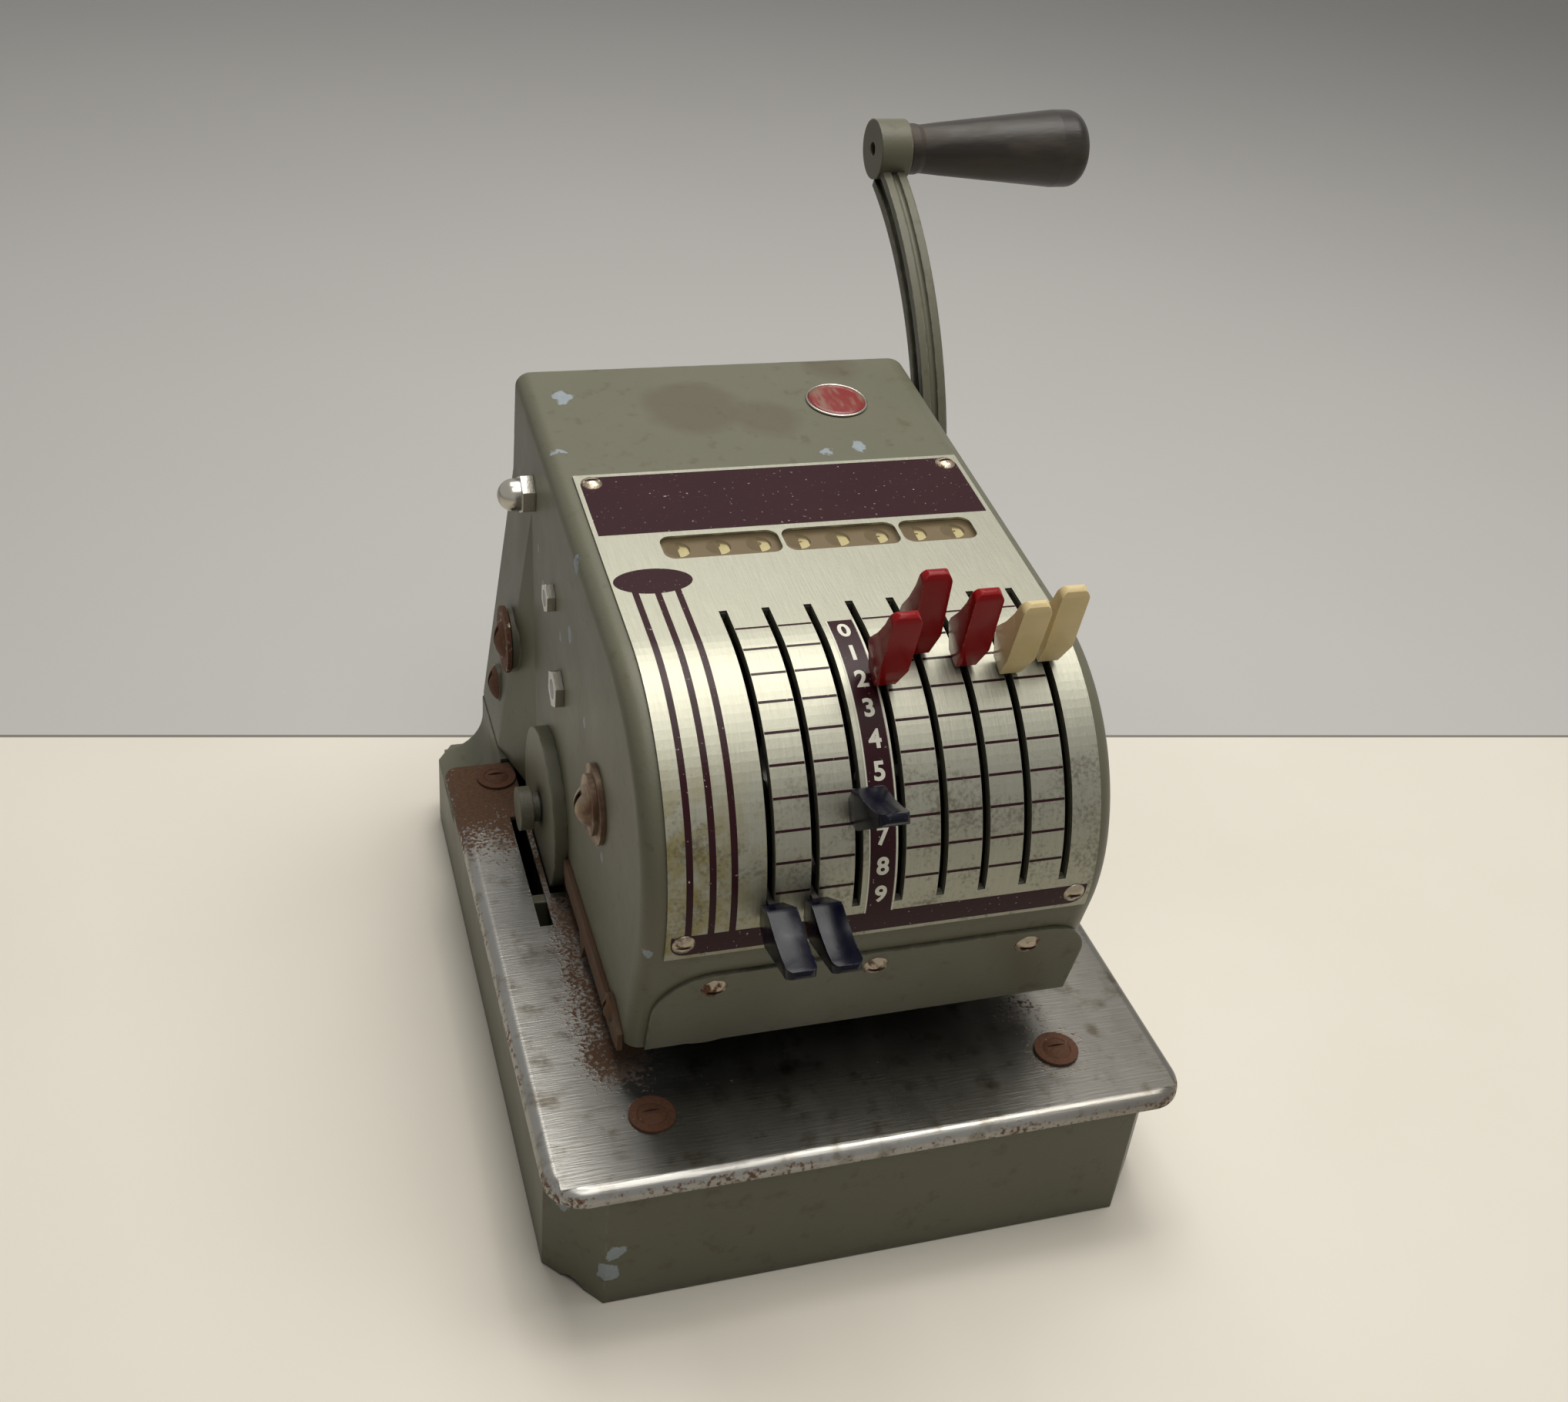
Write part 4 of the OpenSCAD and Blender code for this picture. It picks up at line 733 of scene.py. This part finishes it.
# ---- Badge ------------------------------------------------------------------------------------
# A round pressed badge, set into the lid near its rear right corner. It has a thin bright rim
# round a plain field of red enamel, which is scratched and faded.
def lathed(name, profile, sides=64):
    """Turns a profile of (radius, height) points about the Z axis into a closed mesh."""
    shape = bmesh.new()
    turns = [2 * math.pi * k / sides for k in range(sides)]
    rings = []
    for r, z in profile:
        if r < 1e-7:
            rings.append([shape.verts.new((0, 0, z))])
        else:
            rings.append([shape.verts.new((r * math.cos(a), r * math.sin(a), z)) for a in turns])
    for low, high in zip(rings, rings[1:]):
        for k in range(sides):
            after = k + 1
            corners = [low[k % len(low)], low[after % len(low)],
                       high[after % len(high)], high[k % len(high)]]
            unique = list(dict.fromkeys(corners))
            if len(unique) > 2:
                shape.faces.new(unique)
    bmesh.ops.recalc_face_normals(shape, faces=shape.faces[:])
    return as_mesh(shape, name)


badge_turn = Matrix.Rotation(lid_angle - math.pi / 2, 4, "X")
badge_x, badge_way, badge_low = 35 * mm, -123.3 * mm, 0.8 * mm
badge_place = Matrix.Translation(on_plate(badge_x, badge_way, -badge_low)) @ badge_turn
field_r, rim_r = 9.9 * mm, 10.7 * mm
red_enamel = Finish("badge_enamel")
rubbed = red_enamel.ramp(red_enamel.noise(0.006, 6, stretch=(2.2, 0.6, 1), shift=8.0), 0.46, 0.7)
red_enamel.set("Base Color", red_enamel.mix(rubbed, sRGB(122, 30, 27), sRGB(118, 84, 68)))
red_enamel.set("Roughness", red_enamel.blend(rubbed, 0.3, 0.55))
red_enamel.bump(red_enamel.noise(0.0012, 4), 0.00004)
field = lathed("badge_field", [(0, 0.1 * mm), (field_r, 0.1 * mm), (field_r, 0.62 * mm),
                               (field_r * 0.8, 0.72 * mm), (0, 0.78 * mm)])
rim = lathed("badge_rim", [(field_r, 0.0), (rim_r, 0.0), (rim_r, 0.6 * mm), (rim_r - 0.25 * mm, 0.85 * mm),
                           (field_r + 0.2 * mm, 0.85 * mm), (field_r, 0.6 * mm), (field_r, 0.0)])
nickel = bare_steel("bright_nickel", colour=(190, 186, 176), polish=0.22, rust=0.12)
for mesh, finish in ((field, red_enamel), (rim, nickel)):
    mesh.transform(badge_place)
    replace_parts(finished(mesh.name, mesh, finish, "machine"), "badge")


# ---- Levers and finger tabs -------------------------------------------------------------------
# Eight stamped steel segments, each with a moulded plastic tab pressed on its finger: three dark
# blue, three red and two cream. The tabs are glossy, darkened at the root with painted shade and dirt, and
# rubbed at their tips.
def softened(name, node, width, segments=3, angle=25):
    """A copy of a CAD node with its sharp edges rounded."""
    shape = bmesh.new()
    shape.from_mesh(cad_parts[node].data)
    bmesh.ops.remove_doubles(shape, verts=shape.verts[:], dist=2e-6)
    nearly_flat = math.radians(0.6)
    bmesh.ops.dissolve_limit(shape, angle_limit=nearly_flat, verts=shape.verts[:], edges=shape.edges[:])
    holder = bpy.data.objects.new(name, as_mesh(shape, name))
    bpy.context.scene.collection.objects.link(holder)
    bevel = holder.modifiers.new("rounding", "BEVEL")
    bevel.width, bevel.segments = width, segments
    bevel.limit_method, bevel.angle_limit = "ANGLE", math.radians(angle)
    bevel.use_clamp_overlap = True
    bpy.context.view_layer.update()
    made = bpy.data.meshes.new_from_object(holder.evaluated_get(bpy.context.evaluated_depsgraph_get()))
    made.name = name
    bpy.data.objects.remove(holder)
    return made


def moulded(name, colour, rubbed_to):
    """Glossy plastic, darker in its corners with painted shade and dirt, and scuffed at the edges."""
    finish = Finish(name, IOR=1.27)
    scuffs = finish.times(finish.edges(0.0009), finish.ramp(finish.noise(0.002, 5), 0.45, 0.65))
    tone = finish.mix(finish.noise(0.008, 4), sRGB(*colour), shaded(colour, 0.8))
    tone = finish.mix(finish.times(scuffs, 0.35), tone, sRGB(*rubbed_to))
    # Painted shade: near black deep in corners, together with dirt.
    finish.set("Base Color", finish.mix(finish.times(finish.corners(0.004), 0.7), tone, sRGB(20, 14, 10)))
    worn = finish.maths("MAXIMUM", scuffs, finish.noise(0.005, 4))
    finish.set("Roughness", finish.blend(worn, 0.1, 0.36))
    finish.bump(finish.noise(0.0012, 3), 0.00002)
    return finish


blue_plastic = moulded("blue_plastic", (7, 9, 26), (96, 100, 116))
red_plastic = moulded("red_plastic", (142, 14, 18), (196, 110, 100))
cream_plastic = moulded("cream_plastic", (222, 202, 152), (232, 222, 190))
tab_rounding = 0.75 * mm
tab_finishes = ([(blue_plastic, "tab_blue")] * 3 + [(red_plastic, "tab_red")] * 3
                + [(cream_plastic, "tab_cream")] * 2)
for column, (finish, slot) in enumerate(tab_finishes):
    name = f"tab_{column + 1}"
    mesh = softened(f"moulded_{name}", name, tab_rounding)
    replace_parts(finished(f"moulded_{name}", mesh, finish, f"lever_{column + 1}"), name)
dress(works_steel, *(f"lever_{n + 1}" for n in range(columns)))


# ---- Handle -----------------------------------------------------------------------------------
# A cast arm, grooved on both sides and down its front, swings from the shaft behind the right
# side. Its enamel is painted 8 percent darker as shade, and worn to dull metal at the edges, which also
# carry a painted highlight. The black grip is turned and waxy with use.
arm_chips = [(79, 217, 236, 1.6), (79, 200, 160, 1.8), (83, 214, 200, 1.4)]
# Painted shade: the arm's enamel is painted 8 percent darker than the head's.
arm_enamel_painted_shade = enamel("arm_enamel_painted_shade", arm_chips, painted_shade=0.92)
dress(arm_enamel_painted_shade, "handle_arm")
grip_black = Finish("grip_black", Specular_IOR_Level=0.35)
worn = grip_black.ramp(grip_black.noise(0.014, 6, stretch=(0.35, 1, 1), shift=2.4), 0.44, 0.68)
tone = grip_black.mix(grip_black.noise(0.03, 4), sRGB(28, 24, 21), sRGB(38, 33, 28))
tone = grip_black.mix(grip_black.times(worn, 0.5), tone, sRGB(70, 61, 49))
grip_black.set("Base Color", tone)
grip_black.set("Roughness", grip_black.blend(worn, 0.36, 0.58))
grip_black.bump(grip_black.noise(0.002, 5, stretch=(0.3, 1, 1)), 0.00012, rounding=0.0004)
dress(grip_black, "handle_grip")


# ---- Nuts, washers and shaft ends -------------------------------------------------------------
# Nickel-plated nuts close the cross rods on the left side. The lever shaft ends in a domed screw
# on a stepped washer of browned copper colour, the handle shaft in a wide rusty washer.
dress(nickel, "acorn_nut", "side_nuts")
copper_brown = bare_steel("copper_brown_steel", colour=(158, 142, 122), polish=0.36, rust=0.7)
dress(copper_brown, "shaft_screws")
dress(rusty_steel("shaft_rust", 0.35), "handle_shaft")
brass = bare_steel("bush_bronze", colour=(150, 122, 74), polish=0.35)
dress(brass, "handle_bushes")


# ---- Works inside the head --------------------------------------------------------------------
# Inner frames, rods, springs, the press cam with its rod and lever, the platen and the felt ink
# roll, whose painted knob stands out on the left. They show through the slots and the throat.
dress(works_steel, "frame_left", "frame_right", "cross_rods", "lever_shaft", "indicator_shaft",
      "detent_springs", "push_rod", "press_pivot", "grip_spindle")
cast_iron = bare_steel("cast_iron", colour=(78, 77, 72), polish=0.55, rust=0.5)
dress(cast_iron, "press_cam", "press_lever")
platen_steel = bare_steel("platen_steel", colour=(140, 139, 134), polish=0.3, stretch=(0.1, 1, 1))
dress(platen_steel, "platen")
felt = Finish("inked_felt", roughness=0.9)
side_x = felt.node("ShaderNodeSeparateXYZ", felt.place).outputs[0]
knob = felt.ramp(side_x, -74 * mm, -75 * mm)
knob_tone = felt.mix(felt.noise(0.004, 5), sRGB(74, 72, 58), sRGB(104, 102, 84))
# Painted shade: the knob's paint turns dark brown deep in corners, together with dirt.
painted = felt.mix(felt.corners(0.004), knob_tone, sRGB(36, 30, 22))
felt.set("Base Color", felt.mix(knob, sRGB(30, 27, 32), painted))
felt.set("Roughness", felt.blend(knob, 0.9, 0.45))
felt.bump(felt.noise(0.0006, 4), 0.00012, rounding=0.0005)
dress(felt, "ink_roll")

spring_values = {"Turns": 6.0, "Coil radius": 7.4 * mm, "Length": 20.4 * mm, "Wire radius": 1.0 * mm,
                 "Steel": works_steel.material}
tree, given, result = node_group("coiled_wire", **spring_values)
make = Maker(tree)
coil = make.add("GeometryNodeCurveSpiral", {"Resolution": 32, "Rotations": given.outputs["Turns"],
                "Start Radius": given.outputs["Coil radius"], "End Radius": given.outputs["Coil radius"],
                "Height": given.outputs["Length"]})[0]
section = make.add("GeometryNodeCurvePrimitiveCircle", {"Resolution": 10,
                                                        "Radius": given.outputs["Wire radius"]})[0]
wire = make.add("GeometryNodeCurveToMesh", {"Curve": coil, "Profile Curve": section, "Fill Caps": True})[0]
wire = make.add("GeometryNodeRealizeInstances", {"Geometry": wire})[0]
wire = make.add("GeometryNodeSetMaterial", {"Geometry": wire, "Material": given.outputs["Steel"]})[0]
tree.links.new(wire, result.inputs["Geometry"])
mesh = grow(tree, spring_values)
spring_start = Vector((26 * mm, 124 * mm, 100.4 * mm))
mesh.transform(Matrix.Translation(spring_start) @ Matrix.Rotation(math.pi / 2, 4, "Y"))
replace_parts(finished("return_spring_wire", mesh, works_steel, "machine"), "return_spring")
